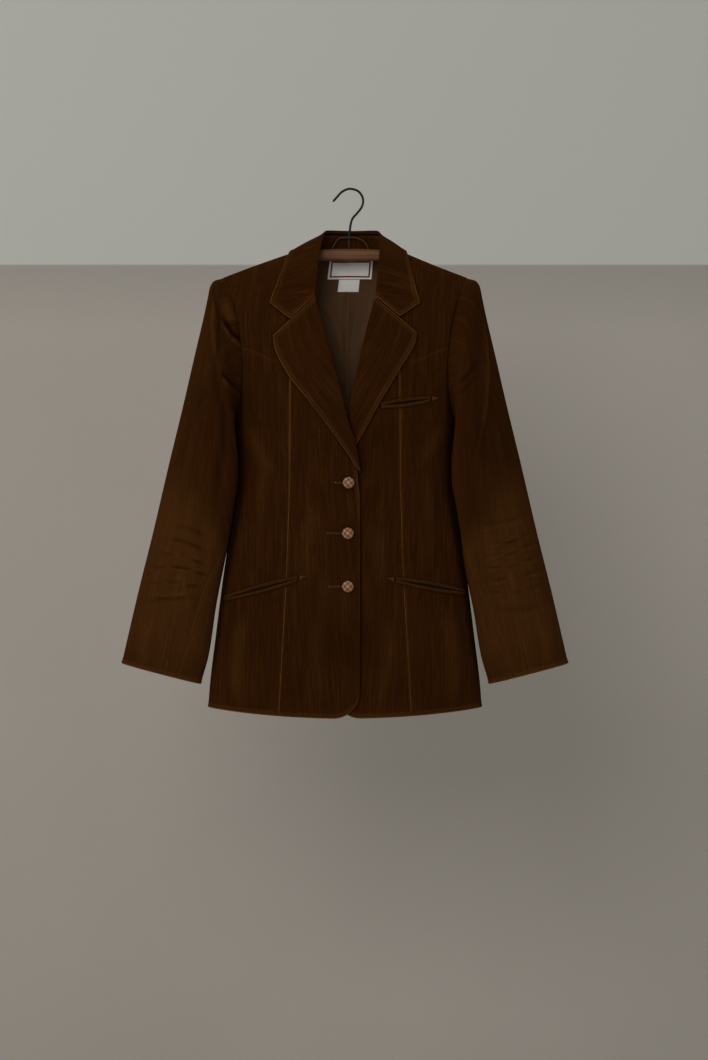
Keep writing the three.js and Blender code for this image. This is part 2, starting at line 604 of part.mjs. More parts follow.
// Buttons: a domed disc turned about the line that points out of the front
function buttonMesh(row) {
  const { radius, rim, height } = button;
  const profile = [[0, 0], [radius * 0.86, 0], [radius, rim * 0.5], [radius * 0.97, rim]];
  const dome = [70, 45, 22].map((degrees) => [radius * 0.97 * Math.sin(radians(degrees)),
    rim + (height - rim) * Math.cos(radians(degrees))]);
  const points = [...profile, ...dome, [0, height]].map(([x, y]) => new THREE.Vector2(x, y));
  const geometry = new THREE.LatheGeometry(points, 16);
  geometry.rotateX(Math.PI);
  const mesh = new THREE.Mesh(geometry, materials.leather);
  mesh.name = row.name;
  const lift = frontLift(row.x, row.z) + clothThick / 2 + seamGap;
  const seat = bodyLifted(RIGHT, FRONT, -row.x, row.z, 0);
  mesh.position.set(seat.x, seat.y - lift, row.z);
  return mesh;
}

// Lining of the back in two halves, the labels on it and the cord loop
function backLining(side, name) {
  const surface = (u, v) => {
    const sine = Math.sin(radians(lining.spread * u));
    const topZ = Math.min(lining.topZ, ridgeZ(sine * armhole.m) - lining.shoulderDrop);
    const z = mix(lining.bottomZ, topZ, 1 - (1 - v) ** 1.8);
    const point = bodyLifted(side, BACK, bodySection(sine, z).edge * sine, z, lining.lift);
    point.x += side * Math.max(0, seamGap - outwardOf(side, point.x, point.z));
    return point;
  };
  return clothWall(name, surface, 7, 18, liningThick, materials.lining);
}

function labelPiece(name, label) {
  const lift = lining.lift - liningThick / 2 - 2.6 * seamGap - label.thick / 2;
  const surface = (u, v) => {
    const m = mix(label.fromM, label.toM, u);
    return bodyLifted(LEFT, BACK, m, mix(label.bottomZ, label.topZ, v), lift);
  };
  return clothWall(name, surface, 4, 2, label.thick, materials.label);
}

function tubeAlong(name, points, radius, sides, steps, material) {
  const path = new THREE.CatmullRomCurve3(points);
  const outline = new THREE.Shape();
  outline.absarc(0, 0, radius, 0, 2 * Math.PI, false);
  const geometry = new THREE.ExtrudeGeometry(outline, {
    steps,
    curveSegments: sides,
    extrudePath: path,
    bevelEnabled: false,
  });
  const mesh = new THREE.Mesh(geometry, material);
  mesh.name = name;
  return mesh;
}

function hangingLoop() {
  const points = loopRows.map(({ w, up, off }) => {
    const { roll, seam } = collarFrame(w < 0 ? RIGHT : LEFT, Math.abs(w));
    return seam.lerp(roll, up).add(new THREE.Vector3(0, -off, 0));
  });
  return tubeAlong('hanging_loop', points, loopCord.radius, loopCord.sides / 2, loopCord.segments, materials.cord);
}

// Hanger bar: a rounded board whose top edge follows the inside of the shoulders
function hangerBar() {
  const columns = 40;
  const outline = [[-0.5, 0.3], [-0.5, 0.75], [-0.3, 0.95], [0, 1], [0.3, 0.95], [0.5, 0.75], [0.5, 0.3],
    [0.3, 0.05], [0, 0], [-0.3, 0.05]];
  const positions = [];
  const triangles = [];
  for (let i = 0; i <= columns; i += 1) {
    const x = mix(-bar.reach, bar.reach, i / columns);
    const m = outwardOf(x > jacketCentreX ? LEFT : RIGHT, x, bar.centreTopZ);
    const top = Math.min(bar.centreTopZ - 0.0006 * x * x, ridgeZ(m) - bar.underRidge);
    const end = Math.max(0, (Math.abs(x) - bar.reach + 8) / 8);
    const height = mix(bar.heightCentre, bar.heightEnd, Math.abs(x) / bar.reach) * (1 - 0.35 * end * end);
    for (const [across, up] of outline) {
      positions.push(x, across * bar.thick * (1 - 0.4 * end * end), top - height * (1 - up));
    }
  }
  const n = outline.length;
  for (let i = 0; i < columns; i += 1) {
    for (let k = 0; k < n; k += 1) {
      const a = i * n + k;
      const b = i * n + ((k + 1) % n);
      triangles.push(a, b, b + n, a, b + n, a + n);
    }
  }
  for (let k = 1; k < n - 1; k += 1) {
    triangles.push(0, k + 1, k, columns * n, columns * n + k, columns * n + k + 1);
  }
  return closedMesh('hanger_bar', positions, triangles, materials.wood);
}

function hangerHook() {
  const points = hookPoints.map((p) => new THREE.Vector3(p.x, 0, p.z));
  return tubeAlong('hanger_hook', points, hookWire.radius, hookWire.sides / 2, hookWire.segments, materials.wire);
}

const jacket = new THREE.Group();
jacket.add(
  frontYoke(RIGHT, 'front_yoke_right'),
  frontYoke(LEFT, 'front_yoke_left'),
  frontCentre(RIGHT, 'front_centre_right'),
  frontCentre(LEFT, 'front_centre_left'),
  frontSide(RIGHT, 'front_side_right'),
  frontSide(LEFT, 'front_side_left'),
  backPanel(RIGHT, 'back_right'),
  backPanel(LEFT, 'back_left'),
  topSleeve(RIGHT, 'top_sleeve_right'),
  topSleeve(LEFT, 'top_sleeve_left'),
  underSleeve(RIGHT, 'under_sleeve_right'),
  underSleeve(LEFT, 'under_sleeve_left'),
  lapel(RIGHT, 'lapel_right'),
  lapel(LEFT, 'lapel_left'),
  collarLeaf(),
  collarStand(),
  backLining(RIGHT, 'lining_back_right'),
  backLining(LEFT, 'lining_back_left'),
  labelPiece('neck_label', neckLabel),
  labelPiece('care_label', careLabel),
  hangingLoop(),
  ...pocketRows.flatMap((row) => [pocketJet(row, true), pocketJet(row, false)]),
  ...buttonRows.map(buttonMesh),
);

const hanger = new THREE.Group();
hanger.add(hangerBar(), hangerHook());

const object = new THREE.Group();
object.add(jacket, hanger);

export default object;
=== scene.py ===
import json
import math

import bpy
import numpy as np
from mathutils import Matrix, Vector

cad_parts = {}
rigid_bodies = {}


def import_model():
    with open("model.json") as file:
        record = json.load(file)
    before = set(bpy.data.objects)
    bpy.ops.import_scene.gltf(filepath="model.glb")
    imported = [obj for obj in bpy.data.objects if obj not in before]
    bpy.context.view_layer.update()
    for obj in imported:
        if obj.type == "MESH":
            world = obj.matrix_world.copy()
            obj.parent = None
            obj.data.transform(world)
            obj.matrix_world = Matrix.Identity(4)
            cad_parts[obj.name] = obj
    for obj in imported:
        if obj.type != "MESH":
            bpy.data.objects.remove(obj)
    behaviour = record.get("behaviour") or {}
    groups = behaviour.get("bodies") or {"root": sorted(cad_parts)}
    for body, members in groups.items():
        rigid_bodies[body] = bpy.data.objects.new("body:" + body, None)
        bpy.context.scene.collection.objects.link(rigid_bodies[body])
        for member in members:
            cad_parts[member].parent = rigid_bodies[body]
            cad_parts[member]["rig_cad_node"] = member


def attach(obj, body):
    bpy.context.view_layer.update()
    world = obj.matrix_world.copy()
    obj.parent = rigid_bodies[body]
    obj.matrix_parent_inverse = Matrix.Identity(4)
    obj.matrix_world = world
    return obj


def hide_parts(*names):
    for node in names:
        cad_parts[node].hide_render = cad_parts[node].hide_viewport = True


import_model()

bl_info = {
    "name": "Corduroy Jacket on a Hanger",
    "version": (1, 0, 0),
    "blender": (4, 5, 0),
    "location": "View3D > Sidebar > Jacket",
    "description": "Cloth, stitching, buttons and hanger for a single-breasted corduroy jacket",
    "category": "Object",
}

# Tables and sections are in millimetres, as a cutter would write them; meshes are in metres
MM = 0.001
RIGHT, LEFT = -1, 1
FRONT, BACK = -1, 1
CENTRE_X = -6.0
ARMPIT_Z = -352.0
SHOULDER_TIP_Z = -133.0
RIDGE_Z = -63.0
SECTION_POWER = 2.5
RIDGE_GAP = 0.7
SEAM_GAP = -0.5
HEM_Z = -790.0
ARMHOLE = {"m": 175.0, "lean": 9.0, "bow": 22.0, "power": 1.6, "depth": 43.0}
SHOULDER = {"start": 0.72, "depth": 51.0}
NECK_LEAN = {"shift": 10.5, "low": -165.0, "high": -62.0, "whole": 60.0, "none": 140.0}

# z, half width and half depth of the body
BODY_ROWS = [
    (-800, 205.5, 48), (-750, 202.5, 48), (-660, 192, 47), (-592, 183.5, 46), (-525, 174, 46),
    (-450, 165, 47), (-400, 164.5, 49), (-352, 166, 51),
]

# z and distance outward of the front edge, roll line and neck seam
EDGE_ROWS = {
    RIGHT: [
        (-800, -22.5), (-430, -22.5), (-386, -16.5), (-341, -3), (-298, 8), (-232, 26),
        (-190, 37), (-163.5, 45), (-130, 49.5), (-104, 57), (-85, 61.5),
    ],
    LEFT: [
        (-800, -16), (-430, -16), (-400, -11), (-342, 3), (-256, 22.5), (-202, 35),
        (-163.5, 45), (-130, 49.5), (-104, 57), (-85, 61.5),
    ],
}
PRINCESS_ROWS = [(-800, 100), (-675, 93), (-585, 88), (-500, 85), (-430, 83), (-240, 82)]
YOKE = {"centre": -259.0, "armhole": -241.0, "start": 98.0, "end": 152.0}

# Share of the way down, distance outward and height of the lapel's outer edge
LAPEL_ROWS = {
    RIGHT: [
        (0, 106.5, -221), (0.07, 105, -236), (0.28, 85.5, -278), (0.5, 52.5, -320),
        (0.74, 19.5, -364), (0.95, -11, -408), (1, -18.5, -421),
    ],
    LEFT: [
        (0, 107, -217), (0.06, 105, -229), (0.26, 82.5, -270), (0.5, 52.5, -320),
        (0.82, 16.5, -384), (1, -10, -419),
    ],
}
ROLL = {"top": -164.2, "break": -424.0, "radius": 1.6, "fold": 3 / 7, "rest": 2.7}
OVERLAP = {"near": -62.0, "far": -32.0, "below": 2.6, "lapel": 6.6, "fade": -235.0, "whole": -315.0}

# q from the centre back to the gorge: roll line, then seam and edge on the shoulder
COLLAR_ROWS = [
    (0, 0, 34, -58, 0, 32, 0, 53),
    (0.18, 21, 31, -58, 28, 19.5, 38, 40),
    (0.34, 36, 19, -59.5, 49, 7, 71, 20),
    (0.5, 40, 0, -67.5, 60.5, 0, 86, 0),
    (0.65, 41.8, -27, -89, 57, -16.5, 92, -15),
    (0.8, 43.5, -48.5, -120, 49.5, -43, 100, -37),
    (1, 45, -54, -163.2, 47, -82.5, 112, -67.5),
]
NOTCH = {"share": 0.545, "start": 0.74, RIGHT: 28.5, LEFT: 25.0}
FOLD = {"share": 0.25, "inside": 6.0, "outside": 6.0, "rise": 3.4, "start": 2.3, "bulge": 2.0}
REST = {"flat": 2.5, "ridge": 0.6, "q": 0.5, "spread": 0.12}

# s along the sleeve: outer line, inner line, half depth and bow
SLEEVE_ROWS = [
    (0, 184, 0, -133, 166.5, 0, -352, 43, 22),
    (0.02, 195, 0, -137.5, 169, -3, -360, 46, 17),
    (0.04, 201, 0, -146, 167, -8, -370, 48, 13),
    (0.067, 205, 0, -163, 164, -15, -384, 50, 10),
    (0.122, 212, 0, -195, 160, -22, -404, 51, 7),
    (0.21, 224, 0, -246, 160, -25, -432, 51, 4),
    (0.338, 241, 1, -320, 167, -21, -474, 50, 2),
    (0.503, 264, 2, -415, 176.5, -15, -522, 48, 0),
    (0.67, 286.5, 0, -512, 184, -12, -570, 44, 0),
    (0.83, 309, -6, -604, 194, -15, -628, 37, 0),
    (0.93, 323, -11, -665, 203.5, -20, -694, 29, 0),
    (1, 333, -14, -709.5, 216, -24, -739.5, 23, 0),
]
SLEEVE_SEAMS = [
    (0, 158, -118), (0.35, 172, -112), (0.52, 166, -100), (0.67, 142, -88), (0.83, 124, -76),
    (1, 113, -66),
]

# Where a sleeve lies against the body, and the height below which a gap opens
SLEEVE_TUCK = {
    RIGHT: {"depth": 2.8, "at": 0.5, "spread": 0.16, "open": -560.0},
    LEFT: {"depth": 3.8, "at": 0.64, "spread": 0.2, "open": -622.0},
}

# Creases on the sleeves, front then back, laid out as on the body panels below
SLEEVE_CREASES = {
    (RIGHT, FRONT): [
        (197, -146, 190, -262, 3, -3), (191, -150, 185, -270, 3.4, 2.4), (190, -285, 190, -450, 7, -4.6),
        (178, -290, 176, -440, 5, 2.4), (182, -196, 168, -219, 2.8, -4.4), (170, -217, 151, -232, 2.8, -4.4),
        (180, -208, 153, -238, 3.2, 3.6), (176, -168, 166, -202, 10, 2.6), (184, -278, 167, -294, 2.8, -2.4),
        (169, -292, 155, -305, 2.8, -2.4), (180, -288, 157, -311, 3.2, 2.2), (176, -332, 160, -344, 4, 1.2),
        (280, -566, 208, -577, 2.2, -2.8), (278, -561, 210, -571, 2.4, 2.6), (268, -545, 212, -561, 2.4, -2.6),
        (270, -539, 214, -554, 2.5, 2.4), (262, -524, 210, -541, 2.5, -2.3), (286, -590, 222, -595, 2.5, -2.6),
        (286, -585, 220, -589, 2.5, 2.6), (252, -506, 206, -520, 4.2, -1.9), (288, -606, 230, -604, 2.9, 2.1),
        (224, -470, 226, -640, 10, -1.6), (292, -618, 236, -614, 3.4, -1.9), (252, -640, 262, -715, 12, -1.3),
        (288, -640, 300, -712, 10, 1.3), (240, -560, 222, -640, 3.4, 1.9),
    ],
    (RIGHT, BACK): [
        (196, -160, 192, -330, 10, -3), (178, -180, 170, -300, 12, 2.2), (176, -230, 154, -262, 5, -2.2),
        (268, -540, 206, -560, 3.4, -2.8), (262, -530, 208, -548, 3.4, 2.6), (276, -574, 214, -590, 3.4, -2.8),
        (276, -566, 214, -580, 3.4, 2.6), (214, -400, 226, -520, 14, -2), (262, -620, 272, -710, 13, -1.5),
    ],
    (LEFT, FRONT): [
        (195.5, -140, 196.5, -404, 2.4, 3), (209, -165, 213, -430, 11, -2.2), (190, -150, 191, -262, 6, -1),
        (169, -287, 195, -256, 2.8, 2), (168, -293, 194, -264, 2.8, -1.9), (167, -302, 192, -280, 2.8, 1.9),
        (167, -308, 190, -288, 2.8, -1.7), (166, -320, 188, -304, 3, 1.5), (200, -470, 214, -610, 11, -1.6),
        (222, -531, 272, -517, 2.2, -2.6), (220, -536, 276, -521, 2.4, 2.6), (217, -549, 279, -531, 2.2, -2.6),
        (217, -555, 280, -538, 2.4, 2.8), (217, -567, 282, -551, 2.4, -2.6), (218, -573, 284, -558, 2.4, 2.6),
        (219, -585, 286, -571, 2.4, -2.8), (221, -592, 296, -578, 2.4, 2.8), (216, -604, 294, -592, 2.5, -2.4),
        (214, -612, 292, -601, 2.9, 2.1), (208, -502, 262, -492, 4.2, -1.9), (208, -511, 266, -502, 3.4, 1.9),
        (224, -628, 300, -622, 4.2, -1.8), (250, -640, 262, -715, 12, -1.3), (290, -640, 302, -712, 10, 1.3),
        (236, -440, 250, -520, 12, 1.4),
    ],
    (LEFT, BACK): [
        (198, -156, 194, -340, 10, -3), (180, -176, 172, -310, 12, 2.2), (180, -240, 158, -268, 5, -2.2),
        (270, -544, 208, -556, 3.4, -2.8), (270, -536, 206, -547, 3.4, 2.6), (280, -582, 216, -594, 3.4, -2.8),
        (280, -573, 214, -585, 3.4, 2.6), (216, -410, 224, -530, 14, -2), (258, -626, 270, -712, 13, -1.5),
    ],
}

# Creases on the body panels: from m, z, to m, z, width, height, + stands out
FRONT_CREASES = {
    RIGHT: [
        (150, -262, 128, -300, 6, -1.4), (146, -300, 118, -345, 8, -1.2), (150, -335, 110, -420, 12, 1.5),
        (60, -330, 70, -470, 14, -1.2), (40, -470, 60, -600, 16, 1.4), (118, -420, 128, -560, 13, 1.6),
        (140, -450, 146, -570, 10, -1.4), (150, -640, 156, -770, 12, 1.8), (124, -650, 120, -775, 12, -1.5),
        (40, -640, 34, -760, 14, 1.2), (70, -670, 74, -775, 10, -1.2), (10, -560, 60, -530, 7, -0.9),
        (0, -480, 40, -455, 6, -0.9), (10, -620, 50, -600, 8, -0.8),
    ],
    LEFT: [
        (150, -258, 132, -292, 6, -1.3), (150, -292, 124, -340, 8, -1.2), (148, -340, 112, -410, 11, 1.4),
        (58, -345, 66, -480, 14, -1.2), (120, -430, 124, -560, 13, 1.5), (144, -440, 148, -566, 10, -1.4),
        (40, -500, 52, -600, 15, 1.2), (150, -630, 158, -770, 13, 1.7), (126, -650, 130, -775, 12, -1.4),
        (60, -640, 56, -765, 14, 1.3), (84, -690, 84, -775, 9, -1.1), (104, -330, 130, -356, 7, -0.9),
        (30, -600, 44, -720, 10, -1.0),
    ],
}
BACK_CREASES = {
    RIGHT: [
        (150, -270, 110, -330, 10, -1.6), (156, -320, 100, -410, 13, 1.7), (30, -300, 40, -480, 18, -1.4),
        (70, -420, 84, -620, 18, 1.7), (120, -500, 132, -640, 14, -1.5), (150, -600, 160, -765, 14, 1.9),
        (100, -640, 104, -770, 14, -1.6), (50, -560, 52, -770, 18, 1.8), (14, -620, 12, -770, 10, -1.4),
        (20, -150, 90, -176, 10, -0.9),
    ],
    LEFT: [
        (152, -262, 116, -318, 10, -1.5), (150, -330, 104, -400, 12, 1.6), (34, -320, 30, -500, 18, -1.4),
        (66, -440, 76, -610, 18, 1.6), (116, -480, 124, -640, 14, -1.5), (152, -610, 164, -768, 14, 1.8),
        (108, -650, 112, -772, 14, -1.5), (58, -580, 62, -770, 18, 1.8), (22, -640, 24, -770, 10, -1.3),
        (24, -156, 84, -186, 10, -0.9),
    ],
}
LINING_CREASES = [
    (-50, -175, -14, -300, 6.4, -1.8), (-34, -160, -2, -250, 5.6, 1.5), (-26, -250, -4, -340, 4.8, -1.5),
    (56, -180, 26, -290, 6.4, -1.6), (40, -165, 18, -240, 5.6, 1.4), (34, -250, 12, -340, 4.8, -1.4),
    (16, -170, 10, -290, 4, -1.1), (-16, -280, 8, -350, 4, 1.1), (48, -235, 24, -335, 4.8, 1.2),
    (-60, -330, -24, -480, 9.6, -1.6), (60, -350, 30, -500, 9.6, -1.5), (-90, -420, -80, -640, 12.8, 1.6),
    (86, -400, 92, -640, 12.8, 1.6), (-40, -560, -36, -740, 11.2, -1.5), (40, -560, 46, -740, 11.2, 1.5),
]

# Pockets: side, slit from m, z to m, z, widest gap
POCKETS = {
    "breast_pocket": (LEFT, 53, -325.5, 127, -315.5, 4.5),
    "hip_pocket_right": (RIGHT, 70, -582, 179, -612, 4.6),
    "hip_pocket_left": (LEFT, 75.5, -584, 179, -603, 4.6),
}
BUTTONS = {"button_upper": (5.5, -440), "button_middle": (4.5, -515), "button_lower": (4.5, -594)}

LOOP_ROWS = [
    (-0.19, 0.1, 2.6), (-0.18, 0.33, 2.8), (-0.15, 0.64, 3), (-0.1, 0.71, 3.2), (0, 0.72, 3.4),
    (0.05, 0.71, 3.2), (0.133, 0.57, 3), (0.178, 0.33, 2.8), (0.188, 0.1, 2.6),
]
HOOK_ROWS = [
    (-24.3, -17.9), (-17.5, -10.1), (-10.7, -2.9), (0.5, 1.75), (13.6, -1.8), (20, -10.2),
    (21.2, -17.5), (18.8, -26), (11.5, -35.6), (5.5, -42.5), (2.9, -50), (1.2, -61), (0, -75),
    (0, -88.2),
]
BAR = {"thick": 12.0, "middle": 18.8, "tip": 13.0, "top": -88.5, "reach": 176.0, "under": 1.6}
LINING = {"top": -97.5, "bottom": -764.0, "spread": 66.0, "drop": 12.0, "lift": -3.4, "thick": 1.0}
LABELS = {"neck_label": (-31, 37, -98.4, -129.6, 1.0), "care_label": (-13, 19, -130.1, -149.6, 1.0)}


# Small mathematics, on whole arrays
def mix(a, b, t):
    return a + (b - a) * t


def clamp01(t):
    return np.clip(t, 0.0, 1.0)


def ease(start, end, value):
    t = clamp01((value - start) / (end - start))
    return t * t * (3 - 2 * t)


def bell(t):
    return np.exp(-t * t)


def curve_through(xs, ys):
    """A smooth curve through a table's rows that never overshoots them."""
    xs = np.array(xs, float)
    ys = np.array(ys, float)
    slopes = np.diff(ys) / np.diff(xs)
    before = slopes[:-1]
    after = slopes[1:]
    total = np.where(before + after == 0, 1, before + after)
    inner = np.where(before * after <= 0, 0, 2 * before * after / total)
    tangents = np.concatenate([slopes[:1], inner, slopes[-1:]])

    def at(x):
        x = np.clip(x, xs[0], xs[-1])
        i = np.clip(np.searchsorted(xs, x, side="left") - 1, 0, len(xs) - 2)
        width = xs[i + 1] - xs[i]
        t = (x - xs[i]) / width
        t2 = t * t
        t3 = t2 * t
        value = (2 * t3 - 3 * t2 + 1) * ys[i] + (t3 - 2 * t2 + t) * width * tangents[i]
        return value + (3 * t2 - 2 * t3) * ys[i + 1] + (t3 - t2) * width * tangents[i + 1]

    return at


def columns_through(rows):
    columns = list(zip(*rows))
    return [curve_through(columns[0], column) for column in columns[1:]]


half_width_at, half_depth_at = columns_through(BODY_ROWS)
princess_m = columns_through(PRINCESS_ROWS)[0]
edge_m = {side: columns_through(rows)[0] for side, rows in EDGE_ROWS.items()}
collar_line = columns_through(COLLAR_ROWS)
sleeve_line = columns_through(SLEEVE_ROWS)
fore_seam, hind_seam = columns_through(SLEEVE_SEAMS)
lapel_line = {side: columns_through(rows) for side, rows in LAPEL_ROWS.items()}


# The jacket's shape
def ridge_z(m):
    return RIDGE_Z + (SHOULDER_TIP_Z - RIDGE_Z) / (ARMHOLE["m"] + ARMHOLE["lean"]) * np.abs(m)


def lean_at(m, z):
    up = clamp01((z - NECK_LEAN["low"]) / (NECK_LEAN["high"] - NECK_LEAN["low"]))
    inward = clamp01((NECK_LEAN["none"] - np.abs(m)) / (NECK_LEAN["none"] - NECK_LEAN["whole"]))
    return NECK_LEAN["shift"] * up * inward


def place(side, m, y, z):
    x = CENTRE_X + side * m + lean_at(m, z)
    return np.stack(np.broadcast_arrays(x, y, z), axis=-1).astype(float)


def outward_of(side, x, z):
    m = side * (x - CENTRE_X)
    for _ in range(8):
        m = side * (x - CENTRE_X - lean_at(m, z))
    return m


def body_section(sine, z):
    """Half width, and half depth at the middle and at the edge, of the body's section."""
    tall = mix(RIDGE_Z - ARMPIT_Z, SHOULDER_TIP_Z - ARMPIT_Z, np.abs(sine))
    level = clamp01((z - ARMPIT_Z) / tall)
    cosine = 2 * level - 1
    arc = np.sqrt(np.maximum(0, 1 - cosine * cosine))
    rising = clamp01((level - SHOULDER["start"]) / (1 - SHOULDER["start"]))
    low = z <= ARMPIT_Z
    edge = ARMHOLE["m"] + ARMHOLE["lean"] * cosine - ARMHOLE["bow"] * arc ** ARMHOLE["power"]
    middle = SHOULDER["depth"] * np.sqrt(np.maximum(0, 1 - rising * rising))
    end = ARMHOLE["depth"] * arc
    return np.where(low, half_width_at(z), edge), np.where(low, half_depth_at(z), middle), np.where(low, 0, end)


def body_by_angle(side, face, angle, z):
    sine = np.sin(angle)
    edge, middle, end = body_section(sine, z)
    fullness = np.maximum(0, 1 - np.abs(sine) ** SECTION_POWER) ** (1 / SECTION_POWER)
    depth = end + (middle - end) * fullness
    return place(side, edge * sine, face * (depth + RIDGE_GAP / 2), z)


def angle_at(m, z):
    sine = np.zeros(np.broadcast(m, z).shape)
    for _ in range(10):
        sine = np.clip(m / body_section(sine, z)[0], -1, 1)
    return np.arcsin(sine)


def unit(v):
    return v / np.maximum(np.linalg.norm(v, axis=-1, keepdims=True), 1e-12)


def body_lifted(side, face, m, z, lift):
    """A point on the body, lifted straight out of the cloth."""
    m, z, lift = (np.asarray(value, float) for value in np.broadcast_arrays(m, z, lift))
    angle = angle_at(m, z)
    here = body_by_angle(side, face, angle, z)
    turn = np.where(angle > 0, -0.002, 0.002)
    across = body_by_angle(side, face, angle + turn, z) - here
    down = body_by_angle(side, face, angle, z - 0.1) - here
    out = unit(np.cross(across, down))
    wrong = (out[..., 1] * face < 0) | ((np.abs(out[..., 1]) < 0.02) & (out[..., 0] * side * m < 0))
    out = np.where(wrong[..., None], -out, out)
    return here + out * lift[..., None]


def front_lift(x, z):
    """How far the right front stands off where it lies over the left one."""
    over = ease(OVERLAP["near"], OVERLAP["far"], x)
    upper = 1 - ease(OVERLAP["whole"], OVERLAP["fade"], z)
    below = ease(ROLL["break"] - 42, ROLL["break"] - 12, z)
    return over * upper * mix(OVERLAP["below"], OVERLAP["lapel"], below)


def hem_z(side, m):
    level = HEM_Z + 15 * (np.abs(m) / 205) ** 2
    corner = clamp01((edge_m[side](-780.0) + 40 - m) / 40)
    return level + 40 * (1 - np.sqrt(np.maximum(0, 1 - corner * corner)))


def back_hem_z(m):
    return HEM_Z + 15 * (np.abs(m) / 205) ** 2


def yoke_z(m):
    return mix(YOKE["centre"], YOKE["armhole"], ease(YOKE["start"], YOKE["end"], m))


def roll_set_back(z):
    return (ROLL["radius"] + 2) * ease(ROLL["break"] - 40, ROLL["break"] - 8, z)


def back_neck_z(m):
    seam = RIDGE_Z - 33.5 + 9 * (m / 62) ** 2
    return np.minimum(ridge_z(m), seam + 30 * np.maximum(0, m / 62 - 1))


def panel(side, face, start, inner, outer, bottom, top, u, v):
    """Points of a body panel, with each one's distance outward and height."""
    z = mix(bottom(np.float64(start)), top(np.float64(start)), v) + 0 * u
    m = z * 0
    angle = z * 0
    for _ in range(14):
        near = angle_at(inner(z), z)
        far = angle_at(outer(z), z) if outer else math.pi / 2
        angle = mix(near, far, u)
        m = body_section(np.sin(angle), z)[0] * np.sin(angle)
        z = mix(bottom(m), top(m), v)
    points = body_by_angle(side, face, angle, z)
    if face == FRONT and side == RIGHT:
        points[..., 1] -= front_lift(points[..., 0] - CENTRE_X, z)
    return points, m, z


def collar_frame(side, q):
    roll_m, roll_y, roll_z, seam_m, seam_h, rim_m, rim_h = (line(q) for line in collar_line)
    roll = place(side, roll_m, roll_y, roll_z)
    rest = REST["flat"] + REST["ridge"] * bell((q - REST["q"]) / REST["spread"])

    def on_shoulder(m, h, lift):
        z = ridge_z(m) - np.maximum(np.abs(h), 0.02)
        behind = body_lifted(side, BACK, m, z, lift)
        ahead = body_lifted(side, FRONT, m, z, lift)
        return np.where((h > 0)[..., None], behind, ahead)

    return roll, on_shoulder(seam_m, seam_h, 0.2), on_shoulder(rim_m, rim_h, rest), rest


def clear_of_body(side, points, lift):
    """Moves points of the collar out until they clear the body by lift."""
    x, y, z = (points[..., k] for k in range(3))
    m = outward_of(side, x, z)
    tall = (1 - SHOULDER["start"]) * (RIDGE_Z - ARMPIT_Z)
    middle_z = ridge_z(m) - tall
    edge, middle, end = body_section(m / ARMHOLE["m"], np.minimum(z, middle_z))
    across = np.clip(m / edge, 0, 1)
    fullness = np.maximum(0, 1 - across ** SECTION_POWER) ** (1 / SECTION_POWER)
    deep = end + (middle - end) * fullness + lift
    rise = np.maximum(0, z - middle_z) / (tall + lift)
    size = np.hypot(y / deep, rise)
    inside = size < 1
    safe = np.maximum(size, 1e-6)
    face = np.where(y > 0, 1.0, -1.0)
    new_y = np.where(inside, face * np.maximum(np.abs(y) / safe, 0.01), y)
    new_z = np.where(inside & (rise > 0), middle_z + (z - middle_z) / safe, z)
    return np.stack([x, new_y, new_z], axis=-1)


def leaf_side(side, q, u, notched):
    """One side of the collar leaf, from its fold down to its free edge."""
    roll, seam, rim, rest = collar_frame(side, q)
    length = np.linalg.norm(roll - seam, axis=-1)
    inside = mix(roll, seam, np.minimum(0.45, FOLD["inside"] / length)[..., None])
    outward = unit(rim - roll)
    facing = ease(0.6, 1.0, q)
    up = unit(np.stack([facing * 0, -facing, 1 - facing], axis=-1))
    start = roll + outward * FOLD["outside"] + up * FOLD["start"]
    top = roll + up * FOLD["rise"]
    turn = clamp01(u / FOLD["share"])[..., None]
    folded = mix(mix(inside, top, turn), mix(top, start, turn), turn)
    t = clamp01((u - FOLD["share"]) / (1 - FOLD["share"]))
    crown = FOLD["bulge"] * np.sin(math.pi * t).clip(0) ** 1.2 * (1 - 0.7 * q)
    flat = mix(start, rim, t[..., None]) + up * crown[..., None]
    points = np.where((t > 0)[..., None], flat, folded)
    roll_m = collar_line[0](q)
    width = collar_line[5](q) - roll_m
    across = (outward_of(side, points[..., 0], points[..., 2]) - roll_m) / np.where(width == 0, 1, width)
    tent = clamp01(np.minimum(across / NOTCH["share"], (1 - across) / (1 - NOTCH["share"])))
    bend = clamp01((q - NOTCH["start"]) / (1 - NOTCH["start"])) ** 1.6
    points[..., 2] -= notched * NOTCH[side] * tent * bend
    cleared = clear_of_body(side, points, rest)
    return np.where((t > 0)[..., None], cleared, points)


def leaf_points(u, v, notched=1.0):
    w = mix(-1.0, 1.0, v)
    q = np.abs(w)
    return np.where((w < 0)[..., None], leaf_side(RIGHT, q, u, notched), leaf_side(LEFT, q, u, notched))


def stand_points(u, v):
    w = mix(-12 / 14, 12 / 14, v)
    q = np.abs(w)
    both = []
    for side in (RIGHT, LEFT):
        roll, seam, _, _ = collar_frame(side, q)
        tall = np.linalg.norm(roll - seam, axis=-1)
        share = 1 - np.minimum(0.45, FOLD["inside"] / tall) - 1.6 / tall
        both.append(mix(seam, roll, (u * share)[..., None]))
    return np.where((w < 0)[..., None], both[0], both[1])


def sleeve_creases(side, degrees, points):
    """Height of the sleeve's creases, fading out at its outer and inner lines."""
    m = outward_of(side, points[..., 0], points[..., 2])
    sine = np.sin(np.radians(degrees))
    total = 0 * m
    for face, rows in ((FRONT, SLEEVE_CREASES[side, FRONT]), (BACK, SLEEVE_CREASES[side, BACK])):
        total = total + crease_height(rows, m, points[..., 2]) * ease(0.05, 0.45, -face * sine)
    return total


